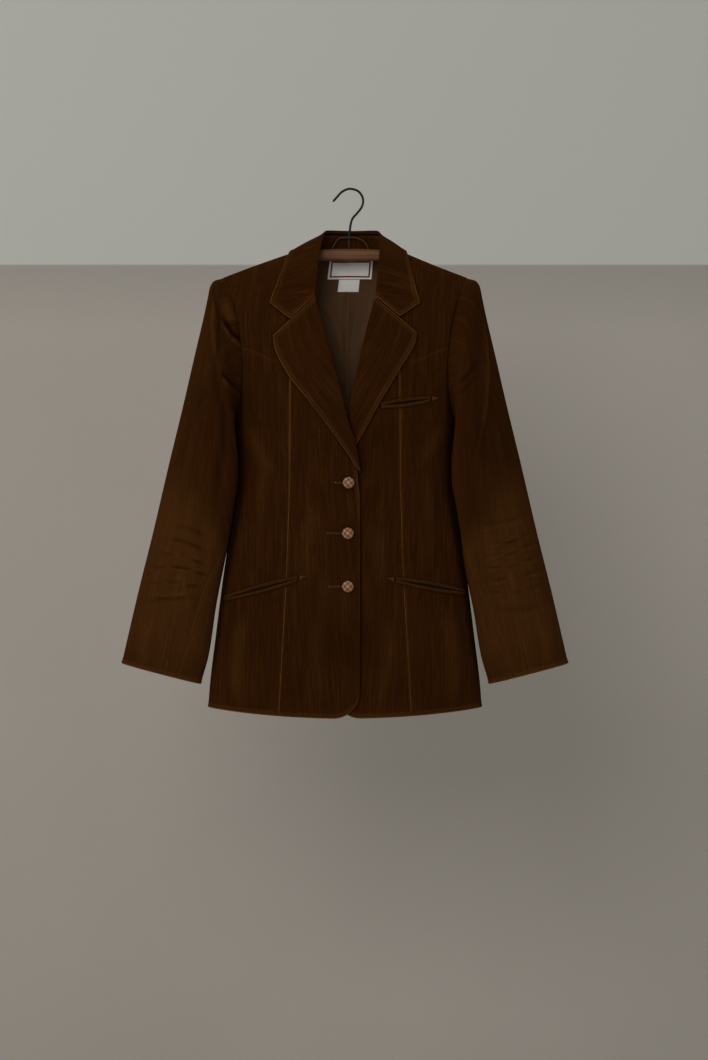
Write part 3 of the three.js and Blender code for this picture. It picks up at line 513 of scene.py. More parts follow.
def sleeve_points(side, degrees, s):
    """Points round the sleeve in degrees and down it by share s."""
    out_m, out_y, out_z, in_m, in_y, in_z, depth, bow = (line(s) for line in sleeve_line)
    angle = np.radians(degrees)
    cosine = np.cos(angle)
    sine = np.sin(angle)
    tucked = bell(s / 0.012)
    share = 0.5 + 0.5 * cosine
    tuck = SLEEVE_TUCK[side]
    in_m = in_m - tuck["depth"] * bell((s - tuck["at"]) / tuck["spread"])
    round_sine = np.sign(sine) * np.abs(sine) ** mix(0.78, 1.0, ease(0.72, 1.0, s))
    y = mix(in_y, out_y, share) - depth * round_sine * (1 - 0.03 * tucked)
    z = mix(in_z, out_z, share) - 0.5 * share * tucked
    under = 1.2 * np.maximum(0, -cosine) ** 2 * bell(s / 0.03)
    m = mix(in_m, out_m, share) - bow * np.abs(sine) ** ARMHOLE["power"] + 1.3 * bell(s / 0.05) + under
    m = m - 2.2 * tucked
    flank = np.clip(np.abs(y) / half_depth_at(z), 0, 1)
    beside = half_width_at(z) * (1 - flank ** SECTION_POWER) ** (1 / SECTION_POWER)
    beside = beside + mix(2.2, 0.5, ease(tuck["open"] - 30, tuck["open"], z))
    m = np.where((z < ARMPIT_Z + 2) & (flank < 1), np.maximum(m, beside), m)
    return place(side, m, y, z)


# Meshes
def arcs(points, axis):
    """Distance run along the grid's rows or columns."""
    steps = np.linalg.norm(np.diff(points, axis=axis), axis=-1)
    pad = [(0, 0), (0, 0)]
    pad[axis] = (1, 0)
    return np.cumsum(np.pad(steps, pad), axis=axis)


def graded(length, pitch, first, last):
    """Shares from 0 to 1 along a length, close together at finished ends."""
    near = np.array([0, 0.1, 0.35, 0.75, 1.3, 2.0, 3.0, 4.2, 5.2, 5.6, 6.0, 6.4, 6.8, 8.0])
    plain = np.array([0, 0.1, 0.35, 0.75, 1.3, 2.2])
    head = near if first == "free" else plain
    tail = near if last == "free" else plain
    count = max(2, int(round((length - head[-1] - tail[-1]) / pitch)))
    middle = np.linspace(head[-1], length - tail[-1], count + 1)[1:-1]
    return np.concatenate([head, middle, length - tail[::-1]]) / length


def crease_height(rows, m, z):
    """Soft troughs and ridges between points of the cloth."""
    total = m * 0.0
    for m0, z0, m1, z1, width, height in rows:
        length = math.hypot(m1 - m0, z1 - z0)
        run_m = (m1 - m0) / length
        run_z = (z1 - z0) / length
        along = ((m - m0) * run_m + (z - z0) * run_z) / length
        bow = 0.06 * length * np.sin(math.pi * along) * (1 if height > 0 else -1)
        off = (m - m0) * run_z - (z - z0) * run_m + bow
        total = total + height * bell(off / width) * ease(-0.25, 0.3, along) * (1 - ease(0.7, 1.25, along))
    return total


def round_off(distance, radius):
    t = clamp01(distance / radius)
    return np.sqrt(np.maximum(0, 1 - (1 - t) ** 2))


def cloth_piece(name, points, styles, outside, thick, relief=None, uv=None, materials=(), fade=None):
    """A closed wall of cloth about a grid of points, with finished edges.

    styles names the edge at u 0, u 1, v 0 and v 1: free edges are turned, thick and stitched,
    seams are drawn in, worn seams are rubbed pale, heads are drawn in a little, and plain
    ones are only rounded."""
    rows, columns = points.shape[:2]
    across = arcs(points, 1)
    along = arcs(points, 0)
    gaps = [across, across[:, -1:] - across, along, along[-1:] - along]
    normals = unit(np.cross(np.gradient(points, axis=1), np.gradient(points, axis=0)))
    if np.mean(normals * outside) < 0:
        normals = -normals
    half = np.full((rows, columns), thick / 2)
    worn = np.zeros((rows, columns))
    sink = np.zeros((rows, columns))
    for style, gap in zip(styles, gaps):
        if style == "free":
            half = half + 0.75 * (1 - ease(6.5, 9.5, gap))
            sink = sink + 0.75 * bell((gap - 6.0) / 0.7)
            worn = np.maximum(worn, 1 - ease(0.4, 2.8, gap))
            worn = np.maximum(worn, 0.3 * bell((gap - 6.0) / 1.0))
            worn = np.maximum(worn, 0.12 * (1 - ease(5.0, 6.5, gap)))
        elif style in ("seam", "worn seam"):
            sink = sink + 0.8 * bell(gap / 1.6)
            worn = np.maximum(worn, (0.9 if style == "worn seam" else 0.22) * bell((gap - 0.95) / 0.65))
        elif style == "head":
            sink = sink + 0.35 * bell(gap / 1.2)
            worn = np.maximum(worn, 0.2 * bell((gap - 1.1) / 0.8))
    shape = np.ones((rows, columns))
    for style, gap in zip(styles, gaps):
        if style != "closed":
            shape = shape * round_off(gap, 1.6 if style == "free" else 0.8)
    lift = np.zeros((rows, columns)) if relief is None else relief
    outer = points + normals * (lift + half * shape - np.minimum(sink, half) * shape)[..., None]
    inner = points + normals * (lift - thick / 2 * shape)[..., None]
    if uv is None:
        uv = np.stack([across, along], axis=-1)
    crease = np.zeros((rows, columns)) if relief is None else relief
    faded = np.zeros((rows, columns)) if fade is None else fade
    return grid_mesh(name, outer, inner, uv, {"wear": worn, "crease": crease, "fade": faded}, materials)


def grid_mesh(name, outer, inner, uv, marks, materials):
    """Two layers that share their border vertices, so the piece is closed."""
    rows, columns = outer.shape[:2]
    index = np.arange(rows * columns).reshape(rows, columns)
    border = np.zeros((rows, columns), bool)
    border[[0, -1], :] = True
    border[:, [0, -1]] = True
    under = np.full((rows, columns), -1)
    under[border] = index[border]
    free = ~border
    under[free] = rows * columns + np.arange(free.sum())
    vertices = np.concatenate([outer.reshape(-1, 3), inner[free]]) * MM

    def quads(grid, flip):
        corners = [grid[:-1, :-1], grid[:-1, 1:], grid[1:, 1:], grid[1:, :-1]]
        if flip:
            corners = corners[::-1]
        return np.stack([c.ravel() for c in corners], axis=-1)

    faces = np.concatenate([quads(index, False), quads(under, True)])
    slots = np.repeat([0, 1], (rows - 1) * (columns - 1))
    flat_uv = uv.reshape(-1, 2) * MM
    every_uv = np.concatenate([flat_uv, uv[free] * MM])
    every_mark = {}
    for key, values in marks.items():
        every_mark[key] = np.concatenate([values.ravel(), values[free]])
    return mesh_object(name, vertices, faces, every_uv, every_mark, materials, slots)


def signed_volume(vertices, faces):
    a, b, c, d = (vertices[faces[:, k]] for k in range(4))
    first = np.einsum("ij,ij->i", a, np.cross(b, c)).sum()
    return first + np.einsum("ij,ij->i", a, np.cross(c, d)).sum()


def mesh_object(name, vertices, faces, uv, marks, materials, slots=None):
    """A smooth mesh of four-sided faces, with its cloth map and its marks, among them wear and the crease
    heights that the materials paint as highlight and shade.
    """
    if signed_volume(vertices, faces) < 0:
        faces = faces[:, ::-1]
    mesh = bpy.data.meshes.new(name)
    mesh.from_pydata(vertices.tolist(), [], [list(dict.fromkeys(face)) for face in faces.tolist()])
    layer = mesh.uv_layers.new(name="cloth")
    loops = np.empty(len(mesh.loops), np.int32)
    mesh.loops.foreach_get("vertex_index", loops)
    layer.data.foreach_set("uv", np.asarray(uv, np.float32)[loops].ravel())
    for key, values in marks.items():
        mark = mesh.attributes.new(key, "FLOAT", "POINT")
        mark.data.foreach_set("value", np.asarray(values, np.float32))
    mesh.polygons.foreach_set("use_smooth", np.ones(len(mesh.polygons), bool))
    for material in materials:
        mesh.materials.append(material)
    if slots is not None and len(materials) > 1:
        mesh.polygons.foreach_set("material_index", np.asarray(slots, np.int32))
    mesh.update()
    mesh.validate()
    piece = bpy.data.objects.new(name, mesh)
    bpy.context.scene.collection.objects.link(piece)
    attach(piece, "root")
    return piece


def joined(name, parts, materials):
    """One mesh object of several lists of vertices, faces, uv and slot."""
    vertices = []
    faces = []
    uvs = []
    slots = []
    base = 0
    for part_vertices, part_faces, part_uv, slot in parts:
        part_vertices = np.asarray(part_vertices, float)
        part_faces = np.asarray(part_faces)
        if signed_volume(part_vertices, part_faces) < 0:
            part_faces = part_faces[:, ::-1]
        vertices.append(part_vertices)
        faces.append(part_faces + base)
        uvs.append(np.asarray(part_uv, float))
        slots.append(np.full(len(part_faces), slot))
        base += len(part_vertices)
    every = np.concatenate(vertices)
    slot_list = np.concatenate(slots)
    zero = np.zeros(len(every))
    return mesh_object(
        name, every, np.concatenate(faces), np.concatenate(uvs), {"wear": zero, "crease": zero},
        materials, slot_list,
    )


def tube(path, radii, sides=8, flatten=1.0, up=(0, -1, 0)):
    """Vertices, faces and uv of a closed tube along a path, in the path's unit."""
    path = np.asarray(path, float)
    count = len(path)
    radii = np.broadcast_to(radii, (count,))
    along = unit(np.gradient(path, axis=0))
    up = np.broadcast_to(np.asarray(up, float), path.shape)
    side = unit(np.cross(along, up))
    out = unit(np.cross(side, along))
    turns = np.arange(sides) * 2 * math.pi / sides
    ring = np.cos(turns)[None, :, None] * side[:, None] + flatten * np.sin(turns)[None, :, None] * out[:, None]
    body = path[:, None] + ring * radii[:, None, None]
    run = np.concatenate([[0], np.cumsum(np.linalg.norm(np.diff(path, axis=0), axis=1))])
    vertices = np.concatenate([body.reshape(-1, 3), path[:1], path[-1:]])
    around = np.tile(turns * np.mean(radii), count)
    uv = np.stack([around, np.repeat(run, sides)], axis=-1)
    uv = np.concatenate([uv, [[0, 0]], [[0, run[-1]]]])
    index = np.arange(count * sides).reshape(count, sides)
    after = np.roll(index, -1, axis=1)
    faces = np.stack([index[:-1], after[:-1], after[1:], index[1:]], axis=-1).reshape(-1, 4)
    first = np.full(sides, count * sides)
    last = first + 1
    caps = [
        np.stack([after[0], index[0], first, first], axis=-1),
        np.stack([index[-1], after[-1], last, last], axis=-1),
    ]
    return vertices, np.concatenate([faces, *caps]), uv


def smooth_path(points, count):
    """A smooth line of evenly spaced points through a few given ones."""
    points = np.asarray(points, float)
    steps = np.linalg.norm(np.diff(points, axis=0), axis=1) ** 0.5
    knots = np.concatenate([[0], np.cumsum(steps)])
    tangents = np.gradient(points, knots, axis=0)
    fine = np.linspace(0, knots[-1], count * 8)
    i = np.clip(np.searchsorted(knots, fine, side="left") - 1, 0, len(knots) - 2)
    width = (knots[i + 1] - knots[i])[:, None]
    t = ((fine - knots[i])[:, None]) / width
    line = (2 * t**3 - 3 * t**2 + 1) * points[i] + (t**3 - 2 * t**2 + t) * width * tangents[i]
    line = line + (3 * t**2 - 2 * t**3) * points[i + 1] + (t**3 - t**2) * width * tangents[i + 1]
    run = np.concatenate([[0], np.cumsum(np.linalg.norm(np.diff(line, axis=0), axis=1))])
    even = np.linspace(0, run[-1], count)
    return np.stack([np.interp(even, run, line[:, k]) for k in range(3)], axis=-1)


# Materials
class Nodes:
    """Short calls for building a node tree."""

    def __init__(self, tree):
        self.tree = tree

    def add(self, kind, inputs=(), **settings):
        node = self.tree.nodes.new(kind)
        for key, value in settings.items():
            setattr(node, key, value)
        for socket, value in dict(inputs).items():
            self.put(node, socket, value)
        return node

    def put(self, node, socket, value):
        if isinstance(value, bpy.types.NodeSocket):
            self.tree.links.new(value, node.inputs[socket])
        else:
            node.inputs[socket].default_value = value

    def math(self, operation, a, b=0.0, clamp=False):
        node = self.add("ShaderNodeMath", {0: a, 1: b}, operation=operation, use_clamp=clamp)
        return node.outputs[0]

    def blend_colour(self, factor, a, b):
        node = self.add("ShaderNodeMix", data_type="RGBA")
        self.put(node, 0, factor)
        self.put(node, 6, a)
        self.put(node, 7, b)
        return node.outputs[2]

    def noise(self, vector, scale, detail=3.0, rough=0.55):
        inputs = {"Vector": vector, "Scale": scale, "Detail": detail, "Roughness": rough}
        return self.add("ShaderNodeTexNoise", inputs).outputs[0]

    def stretch(self, vector, scale):
        node = self.add("ShaderNodeMapping", {"Vector": vector, "Scale": scale})
        return node.outputs[0]

    def ramp(self, value, low, high):
        inputs = {"Value": value, "From Min": low, "From Max": high}
        return self.add("ShaderNodeMapRange", inputs, clamp=True).outputs[0]


def new_group(name, inputs, outputs):
    """A shader node group with named inputs and outputs, and its node calls."""
    tree = bpy.data.node_groups.new(name, "ShaderNodeTree")
    for label, kind, value in inputs:
        socket = tree.interface.new_socket(name=label, in_out="INPUT", socket_type=kind)
        if value is not None:
            socket.default_value = value
    for label, kind in outputs:
        tree.interface.new_socket(name=label, in_out="OUTPUT", socket_type=kind)
    nodes = Nodes(tree)
    return nodes, nodes.add("NodeGroupInput").outputs, nodes.add("NodeGroupOutput")


def wale_group():
    """Ribs of corduroy along the cloth map, with rubbed ribs, streaks, a soft nap and a groove mask for painted
    shade.
    """
    group = bpy.data.node_groups.get("Corduroy Wale")
    if group:
        return group
    inputs = [("Cloth", "NodeSocketVector", None), ("Ribs per Metre", "NodeSocketFloat", 400.0)]
    outputs = [("Height", "NodeSocketFloat"), ("Painted Groove Shade", "NodeSocketFloat"), ("Streak", "NodeSocketFloat"),
               ("Nap", "NodeSocketFloat")]
    nodes, given, result = new_group("Corduroy Wale", inputs, outputs)
    cloth = given["Cloth"]
    wander = nodes.noise(nodes.stretch(cloth, (20, 9, 1)), 1.0, 2.0)
    across = nodes.add("ShaderNodeSeparateXYZ", {0: cloth}).outputs[0]
    moved = nodes.math("ADD", across, nodes.math("MULTIPLY", wander, 0.004))
    turn = nodes.math("MULTIPLY", nodes.math("MULTIPLY", moved, given["Ribs per Metre"]), math.pi)
    rib = nodes.math("POWER", nodes.math("ABSOLUTE", nodes.math("SINE", turn)), 0.55)
    pile = nodes.noise(nodes.stretch(cloth, (1400, 420, 1)), 1.0, 2.0, 0.7)
    height = nodes.math("ADD", rib, nodes.math("MULTIPLY", pile, 0.28))
    painted_groove_shade = nodes.math("SUBTRACT", 1.0, rib)
    fine = nodes.ramp(nodes.noise(nodes.stretch(cloth, (300, 14, 1)), 1.0, 4.0, 0.65), 0.42, 0.68)
    broad = nodes.ramp(nodes.noise(nodes.stretch(cloth, (60, 7, 1)), 1.0, 3.0, 0.6), 0.36, 0.66)
    streak = nodes.math("MULTIPLY", fine, nodes.math("ADD", 0.3, broad))
    nap = nodes.ramp(nodes.noise(nodes.stretch(cloth, (420, 160, 1)), 1.0, 3.0, 0.7), 0.3, 0.7)
    nodes.put(result, "Height", height)
    nodes.put(result, "Painted Groove Shade", painted_groove_shade)
    nodes.put(result, "Streak", streak)
    nodes.put(result, "Nap", nap)
    return nodes.tree


def wear_group():
    """Where a surface is rubbed: its marked edges, broken up by grain."""
    group = bpy.data.node_groups.get("Edge Wear")
    if group:
        return group
    inputs = [("Mark", "NodeSocketFloat", 0.0), ("Place", "NodeSocketVector", None),
              ("Amount", "NodeSocketFloat", 1.0), ("Grain per Metre", "NodeSocketFloat", 300.0)]
    nodes, given, result = new_group("Edge Wear", inputs, [("Mask", "NodeSocketFloat")])
    grain = nodes.add("ShaderNodeTexNoise", {"Vector": given["Place"], "Scale": given["Grain per Metre"]})
    broad = nodes.noise(given["Place"], 14.0, 2.0)
    both = nodes.math("ADD", nodes.math("MULTIPLY", grain.outputs[0], 0.7), nodes.math("MULTIPLY", broad, 0.6))
    mask = nodes.math("MULTIPLY", given["Mark"], nodes.math("SUBTRACT", nodes.math("MULTIPLY", both, 1.6), 0.2))
    nodes.put(result, "Mask", nodes.math("MULTIPLY", mask, given["Amount"], clamp=True))
    return nodes.tree


def weave_group():
    """Fine slanting threads of a twill, or the plain grid of a label."""
    group = bpy.data.node_groups.get("Fine Weave")
    if group:
        return group
    inputs = [("Cloth", "NodeSocketVector", None), ("Threads per Metre", "NodeSocketFloat", 1600.0),
              ("Slant", "NodeSocketFloat", 1.0)]
    nodes, given, result = new_group(
        "Fine Weave", inputs, [("Height", "NodeSocketFloat"), ("Shade", "NodeSocketFloat")])
    split = nodes.add("ShaderNodeSeparateXYZ", {0: given["Cloth"]})
    count = nodes.math("MULTIPLY", given["Threads per Metre"], math.pi)
    slanted = nodes.math("ADD", split.outputs[0], nodes.math("MULTIPLY", split.outputs[1], given["Slant"]))
    first = nodes.math("ABSOLUTE", nodes.math("SINE", nodes.math("MULTIPLY", slanted, count)))
    second = nodes.math("ABSOLUTE", nodes.math("SINE", nodes.math("MULTIPLY", split.outputs[1], count)))
    height = nodes.math("ADD", nodes.math("MULTIPLY", first, 0.7), nodes.math("MULTIPLY", second, 0.3))
    shade = nodes.noise(nodes.stretch(given["Cloth"], (600, 90, 1)), 1.0, 3.0)
    nodes.put(result, "Height", height)
    nodes.put(result, "Shade", shade)
    return nodes.tree


def new_material(name, colour, roughness, sheen=0.0, sheen_tint=(1, 1, 1, 1), metallic=0.0, coat=0.0):
    """A material with its Principled shader, ready for its own nodes."""
    material = bpy.data.materials.new(name)
    material.use_nodes = True
    material.diffuse_color = (*colour[:3], 1)
    nodes = Nodes(material.node_tree)
    shader = material.node_tree.nodes["Principled BSDF"]
    shader.inputs["Base Color"].default_value = (*colour[:3], 1)
    shader.inputs["Roughness"].default_value = roughness
    shader.inputs["Metallic"].default_value = metallic
    shader.inputs["Sheen Weight"].default_value = sheen
    shader.inputs["Sheen Roughness"].default_value = 0.45
    shader.inputs["Sheen Tint"].default_value = sheen_tint
    shader.inputs["Coat Weight"].default_value = coat
    return material, nodes, shader


def set_bump(nodes, shader, height, distance, strength):
    node = nodes.add("ShaderNodeBump", {"Height": height, "Distance": distance, "Strength": strength})
    nodes.put(shader, "Normal", node.outputs[0])


def mark(nodes, name):
    return nodes.add("ShaderNodeAttribute", attribute_name=name).outputs["Fac"]


def scaled(colour, factor):
    return (colour[0] * factor, colour[1] * factor, colour[2] * factor, 1)


def corduroy_material():
    """Brown corduroy: ribs, nap, rubbed edges and faded arms, with painted highlight on crease crests and
    painted shade in folds, crevices and rib grooves.
    """
    found = bpy.data.materials.get("jacket_corduroy")
    if found:
        return found
    looks = bpy.context.scene.jacket_looks
    colour = looks.corduroy
    paler = looks.corduroy_worn_and_highlight
    material, nodes, shader = new_material("jacket_corduroy", colour, 0.95, 0.05, (1.0, 0.42, 0.12, 1))
    shader.inputs["Specular IOR Level"].default_value = 0.0
    cloth = nodes.add("ShaderNodeUVMap", uv_map="cloth").outputs[0]
    place_at = nodes.add("ShaderNodeTexCoord").outputs["Object"]
    wale = nodes.add("ShaderNodeGroup", node_tree=wale_group())
    nodes.put(wale, "Cloth", cloth)
    nodes.put(wale, "Ribs per Metre", 1 / looks.wale_pitch)
    rub = nodes.add("ShaderNodeGroup", node_tree=wear_group())
    nodes.put(rub, "Mark", mark(nodes, "wear"))
    nodes.put(rub, "Place", place_at)
    nodes.put(rub, "Amount", looks.edge_wear)
    patch = nodes.ramp(nodes.noise(place_at, 7.0, 4.0, 0.6), 0.34, 0.66)
    tone = nodes.blend_colour(patch, scaled(colour, 0.8), scaled(colour, 1.22))
    nap = nodes.math("MULTIPLY", wale.outputs["Nap"], 0.5)
    tone = nodes.blend_colour(nap, tone, scaled(colour, 1.6))
    fade = nodes.ramp(mark(nodes, "fade"), 0.0, 1.0)
    faded = nodes.math(
        "ADD", nodes.math("MULTIPLY", fade, 0.34), nodes.math("MULTIPLY", wale.outputs["Streak"], 0.24),
    )
    tone = nodes.blend_colour(faded, tone, scaled(paler, 0.85))
    # Painted light on the folds: crease crests are lightened as painted highlight, and troughs are darkened as
    # painted shade.
    raised = nodes.ramp(mark(nodes, "crease"), 0.3, 2.8)
    tone = nodes.blend_colour(nodes.math("MULTIPLY", raised, 0.36), tone, scaled(paler, 0.8))
    painted_fold_shade = nodes.ramp(mark(nodes, "crease"), -0.5, -4.2)
    tone = nodes.blend_colour(nodes.math("MULTIPLY", painted_fold_shade, 0.5), tone, scaled(colour, 0.4))
    tone = nodes.blend_colour(rub.outputs["Mask"], tone, (*paler, 1))
    # Painted shade: the colour darkens where ambient occlusion finds cloth close by, such as under lapel edges,
    # in seams, pockets and folds.
    near = nodes.add("ShaderNodeAmbientOcclusion", {"Distance": 0.016}, samples=6).outputs["AO"]
    painted_crevice_shade = nodes.math("MULTIPLY", nodes.ramp(near, 0.9, 0.5), 0.85)
    tone = nodes.blend_colour(painted_crevice_shade, tone, scaled(colour, 0.22))
    # Painted shade in the grooves between the ribs.
    painted_groove_shade = nodes.math("MULTIPLY", wale.outputs["Painted Groove Shade"], 0.5)
    tone = nodes.blend_colour(painted_groove_shade, tone, scaled(colour, 0.3))
    nodes.put(shader, "Base Color", tone)
    rough = nodes.math("MULTIPLY", wale.outputs["Nap"], 0.12)
    nodes.put(shader, "Roughness", nodes.math("ADD", rough, 0.84))
    set_bump(nodes, shader, wale.outputs["Height"], 0.0008, 0.8)
    return material


def woven_material(name, colour, threads, roughness, sheen, slant=1.0, bump=0.00012, gloss=0.06):
    """Fine cloth: lining, labels, cords and sewing thread."""
    found = bpy.data.materials.get(name)
    if found:
        return found
    material, nodes, shader = new_material(name, colour, roughness, sheen)
    shader.inputs["Specular IOR Level"].default_value = gloss
    cloth = nodes.add("ShaderNodeUVMap", uv_map="cloth").outputs[0]
    place_at = nodes.add("ShaderNodeTexCoord").outputs["Object"]
    weave = nodes.add("ShaderNodeGroup", node_tree=weave_group())
    nodes.put(weave, "Cloth", cloth)
    nodes.put(weave, "Threads per Metre", threads)
    nodes.put(weave, "Slant", slant)
    patch = nodes.ramp(nodes.noise(place_at, 9.0, 3.0), 0.3, 0.72)
    tone = nodes.blend_colour(patch, scaled(colour, 0.86), scaled(colour, 1.14))
    shade = nodes.math("MULTIPLY", weave.outputs["Shade"], 0.35)
    tone = nodes.blend_colour(shade, tone, scaled(colour, 0.6))
    # Painted light on the folds: crease crests are lightened as painted highlight, and troughs are darkened as
    # painted shade.
    raised = nodes.ramp(mark(nodes, "crease"), 0.2, 2.4)
    tone = nodes.blend_colour(nodes.math("MULTIPLY", raised, 0.4), tone, scaled(colour, 1.7))
    painted_fold_shade = nodes.ramp(mark(nodes, "crease"), -0.2, -2.6)
    tone = nodes.blend_colour(nodes.math("MULTIPLY", painted_fold_shade, 0.75), tone, scaled(colour, 0.3))
    nodes.put(shader, "Base Color", tone)
    set_bump(nodes, shader, weave.outputs["Height"], bump, 0.6)
    return material


def label_material():
    """A woven label with a plain inset border; the cloth map runs from its corner."""
    found = bpy.data.materials.get("jacket_label")
    if found:
        return found
    looks = bpy.context.scene.jacket_looks
    material = woven_material("jacket_label", looks.label, 2200.0, 0.75, 0.0, 0.0)
    nodes = Nodes(material.node_tree)
    shader = material.node_tree.nodes["Principled BSDF"]
    tone = shader.inputs["Base Color"].links[0].from_socket
    border = nodes.ramp(mark(nodes, "border"), 0.35, 0.65)
    nodes.put(shader, "Base Color", nodes.blend_colour(border, tone, (*looks.label_border, 1)))
    return material


def leather_material():
    """Plaited brown leather of the buttons."""
    found = bpy.data.materials.get("jacket_leather")
    if found:
        return found
    looks = bpy.context.scene.jacket_looks
    colour = looks.leather
    material, nodes, shader = new_material("jacket_leather", colour, 0.5, 0.0, coat=0.12)
    shader.inputs["Coat Roughness"].default_value = 0.35
    place_at = nodes.add("ShaderNodeTexCoord").outputs["Object"]
    rub = nodes.add("ShaderNodeGroup", node_tree=wear_group())
    nodes.put(rub, "Mark", mark(nodes, "wear"))
    nodes.put(rub, "Place", place_at)
    nodes.put(rub, "Grain per Metre", 900.0)
    grain = nodes.noise(place_at, 1500.0, 4.0, 0.65)
    tone = nodes.blend_colour(nodes.ramp(grain, 0.3, 0.7), scaled(colour, 0.75), scaled(colour, 1.2))
    tone = nodes.blend_colour(rub.outputs["Mask"], tone, scaled(colour, 1.9))
    # Painted shade in the grooves between the plaited strands, from the crease mark.
    tone = nodes.blend_colour(nodes.ramp(mark(nodes, "crease"), 0.0, 1.0), tone, scaled(colour, 0.12))
    nodes.put(shader, "Base Color", tone)
    nodes.put(shader, "Roughness", nodes.math("ADD", nodes.math("MULTIPLY", grain, 0.3), 0.35))
    set_bump(nodes, shader, grain, 0.0002, 0.5)
    return material


def wood_material():
    """Stained and waxed wood of the hanger."""
    found = bpy.data.materials.get("jacket_wood")
    if found:
        return found
    looks = bpy.context.scene.jacket_looks
    colour = looks.wood
    material, nodes, shader = new_material("jacket_wood", colour, 0.55, 0.0, coat=0.04)
    shader.inputs["Specular IOR Level"].default_value = 0.2
    shader.inputs["Coat Roughness"].default_value = 0.3
    place_at = nodes.add("ShaderNodeTexCoord").outputs["Object"]
    bent = nodes.noise(nodes.stretch(place_at, (4, 30, 30)), 1.0, 2.0)
    moved = nodes.add("ShaderNodeVectorMath", {0: place_at}, operation="ADD")
    offset = nodes.add("ShaderNodeCombineXYZ", {2: nodes.math("MULTIPLY", bent, 0.012)}).outputs[0]
    nodes.put(moved, 1, offset)
    rings = nodes.noise(nodes.stretch(moved.outputs[0], (7, 260, 420)), 1.0, 4.0, 0.6)
    pores = nodes.ramp(nodes.noise(nodes.stretch(place_at, (60, 2600, 2600)), 1.0, 2.0), 0.62, 0.72)
    tone = nodes.blend_colour(nodes.ramp(rings, 0.32, 0.68), scaled(colour, 0.62), scaled(colour, 1.3))
    tone = nodes.blend_colour(nodes.math("MULTIPLY", pores, 0.6), tone, scaled(colour, 0.3))
    nodes.put(shader, "Base Color", tone)
    nodes.put(shader, "Roughness", nodes.math("ADD", nodes.math("MULTIPLY", rings, 0.25), 0.36))
    set_bump(nodes, shader, rings, 0.0003, 0.35)
    return material


def wire_material():
    found = bpy.data.materials.get("jacket_wire")
    if found:
        return found
    looks = bpy.context.scene.jacket_looks
    colour = looks.wire
    material, nodes, shader = new_material("jacket_wire", colour, 0.42, metallic=0.9)
    place_at = nodes.add("ShaderNodeTexCoord").outputs["Object"]
    stain = nodes.noise(place_at, 160.0, 4.0, 0.6)
    drawn = nodes.noise(nodes.stretch(place_at, (900, 900, 60)), 1.0, 2.0)
    tone = nodes.blend_colour(nodes.ramp(stain, 0.4, 0.7), scaled(colour, 0.7), scaled(colour, 1.8))
    nodes.put(shader, "Base Color", tone)
    nodes.put(shader, "Roughness", nodes.math("ADD", nodes.math("MULTIPLY", stain, 0.35), 0.25))
    set_bump(nodes, shader, drawn, 0.0001, 0.3)
    return material


def lining_material():
    looks = bpy.context.scene.jacket_looks
    return woven_material("jacket_lining", looks.lining, 1500.0, 0.5, 0.0, gloss=0.12)


def thread_material(name, colour):
    return woven_material(name, colour, 2600.0, 0.7, 0.0, 0.6)


def cord_material():
    return woven_material("jacket_cord", bpy.context.scene.jacket_looks.cord, 700.0, 0.7, 0.0, 1.0, 0.0003)


def cloth_pair():
    return [corduroy_material(), lining_material()]


# Pieces
LAID = {}
TOWARD_FRONT = np.array([0.0, -1.0, 0.0])
TOWARD_BACK = np.array([0.0, 1.0, 0.0])


def grid_of(us, vs):
    v, u = np.meshgrid(vs, us, indexing="ij")
    return u, v


def side_word(side):
    return "right" if side == RIGHT else "left"


def lay_cloth(node, points, styles, outside, thick=1.5, relief=None, uv=None, materials=None,
              fade=None):
    name = node + "_cloth"
    materials = cloth_pair() if materials is None else materials
    piece = cloth_piece(name, points, styles, outside, thick, relief, uv, materials, fade)
    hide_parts(node)
    across = arcs(points, 1)
    along = arcs(points, 0)
    normals = unit(np.cross(np.gradient(points, axis=1), np.gradient(points, axis=0)))
    if np.mean(normals * outside) < 0:
        normals = -normals
    lift = thick / 2 + (0 if relief is None else relief)
    face = points + normals * np.reshape(lift, np.shape(lift) + (1,) * (3 - np.ndim(lift)))
    gaps = [across, across[:, -1:] - across, along, along[-1:] - along]
    LAID[node] = (face, normals, gaps)
    return piece


def upright_uv(points, m):
    """Cloth map whose ribs run straight down, counted outward from the centre."""
    across = arcs(points, 1)
    return np.stack([across + m[:, :1], points[..., 2]], axis=-1)


def front_centre(side):
    u, v = grid_of(graded(100, 3.0, "free", "seam"), graded(505, 4.0, "free", "seam"))
    points, m, z = panel(
        side, FRONT, 30, lambda z: edge_m[side](z) + roll_set_back(z),
        lambda z: princess_m(z) - SEAM_GAP / 2, lambda m: hem_z(side, m),
        lambda m: yoke_z(m) - SEAM_GAP / 2, u, v,
    )
    relief = crease_height(FRONT_CREASES[side], m, z)
    lay_cloth(
        "front_centre_" + side_word(side), points, ("free", "worn seam", "free", "seam"), TOWARD_FRONT,
        relief=relief, uv=upright_uv(points, m),
    )


def front_side(side):
    u, v = grid_of(graded(150, 3.6, "seam", "seam"), graded(520, 4.0, "free", "seam"))
    points, m, z = panel(
        side, FRONT, 120, lambda z: princess_m(z) + SEAM_GAP / 2, None,
        lambda m: hem_z(side, m), lambda m: yoke_z(m) - SEAM_GAP / 2, u, v,
    )
    relief = crease_height(FRONT_CREASES[side], m, z)
    lay_cloth(
        "front_side_" + side_word(side), points, ("seam", "head", "free", "seam"), TOWARD_FRONT,
        relief=relief, uv=upright_uv(points, m),
    )


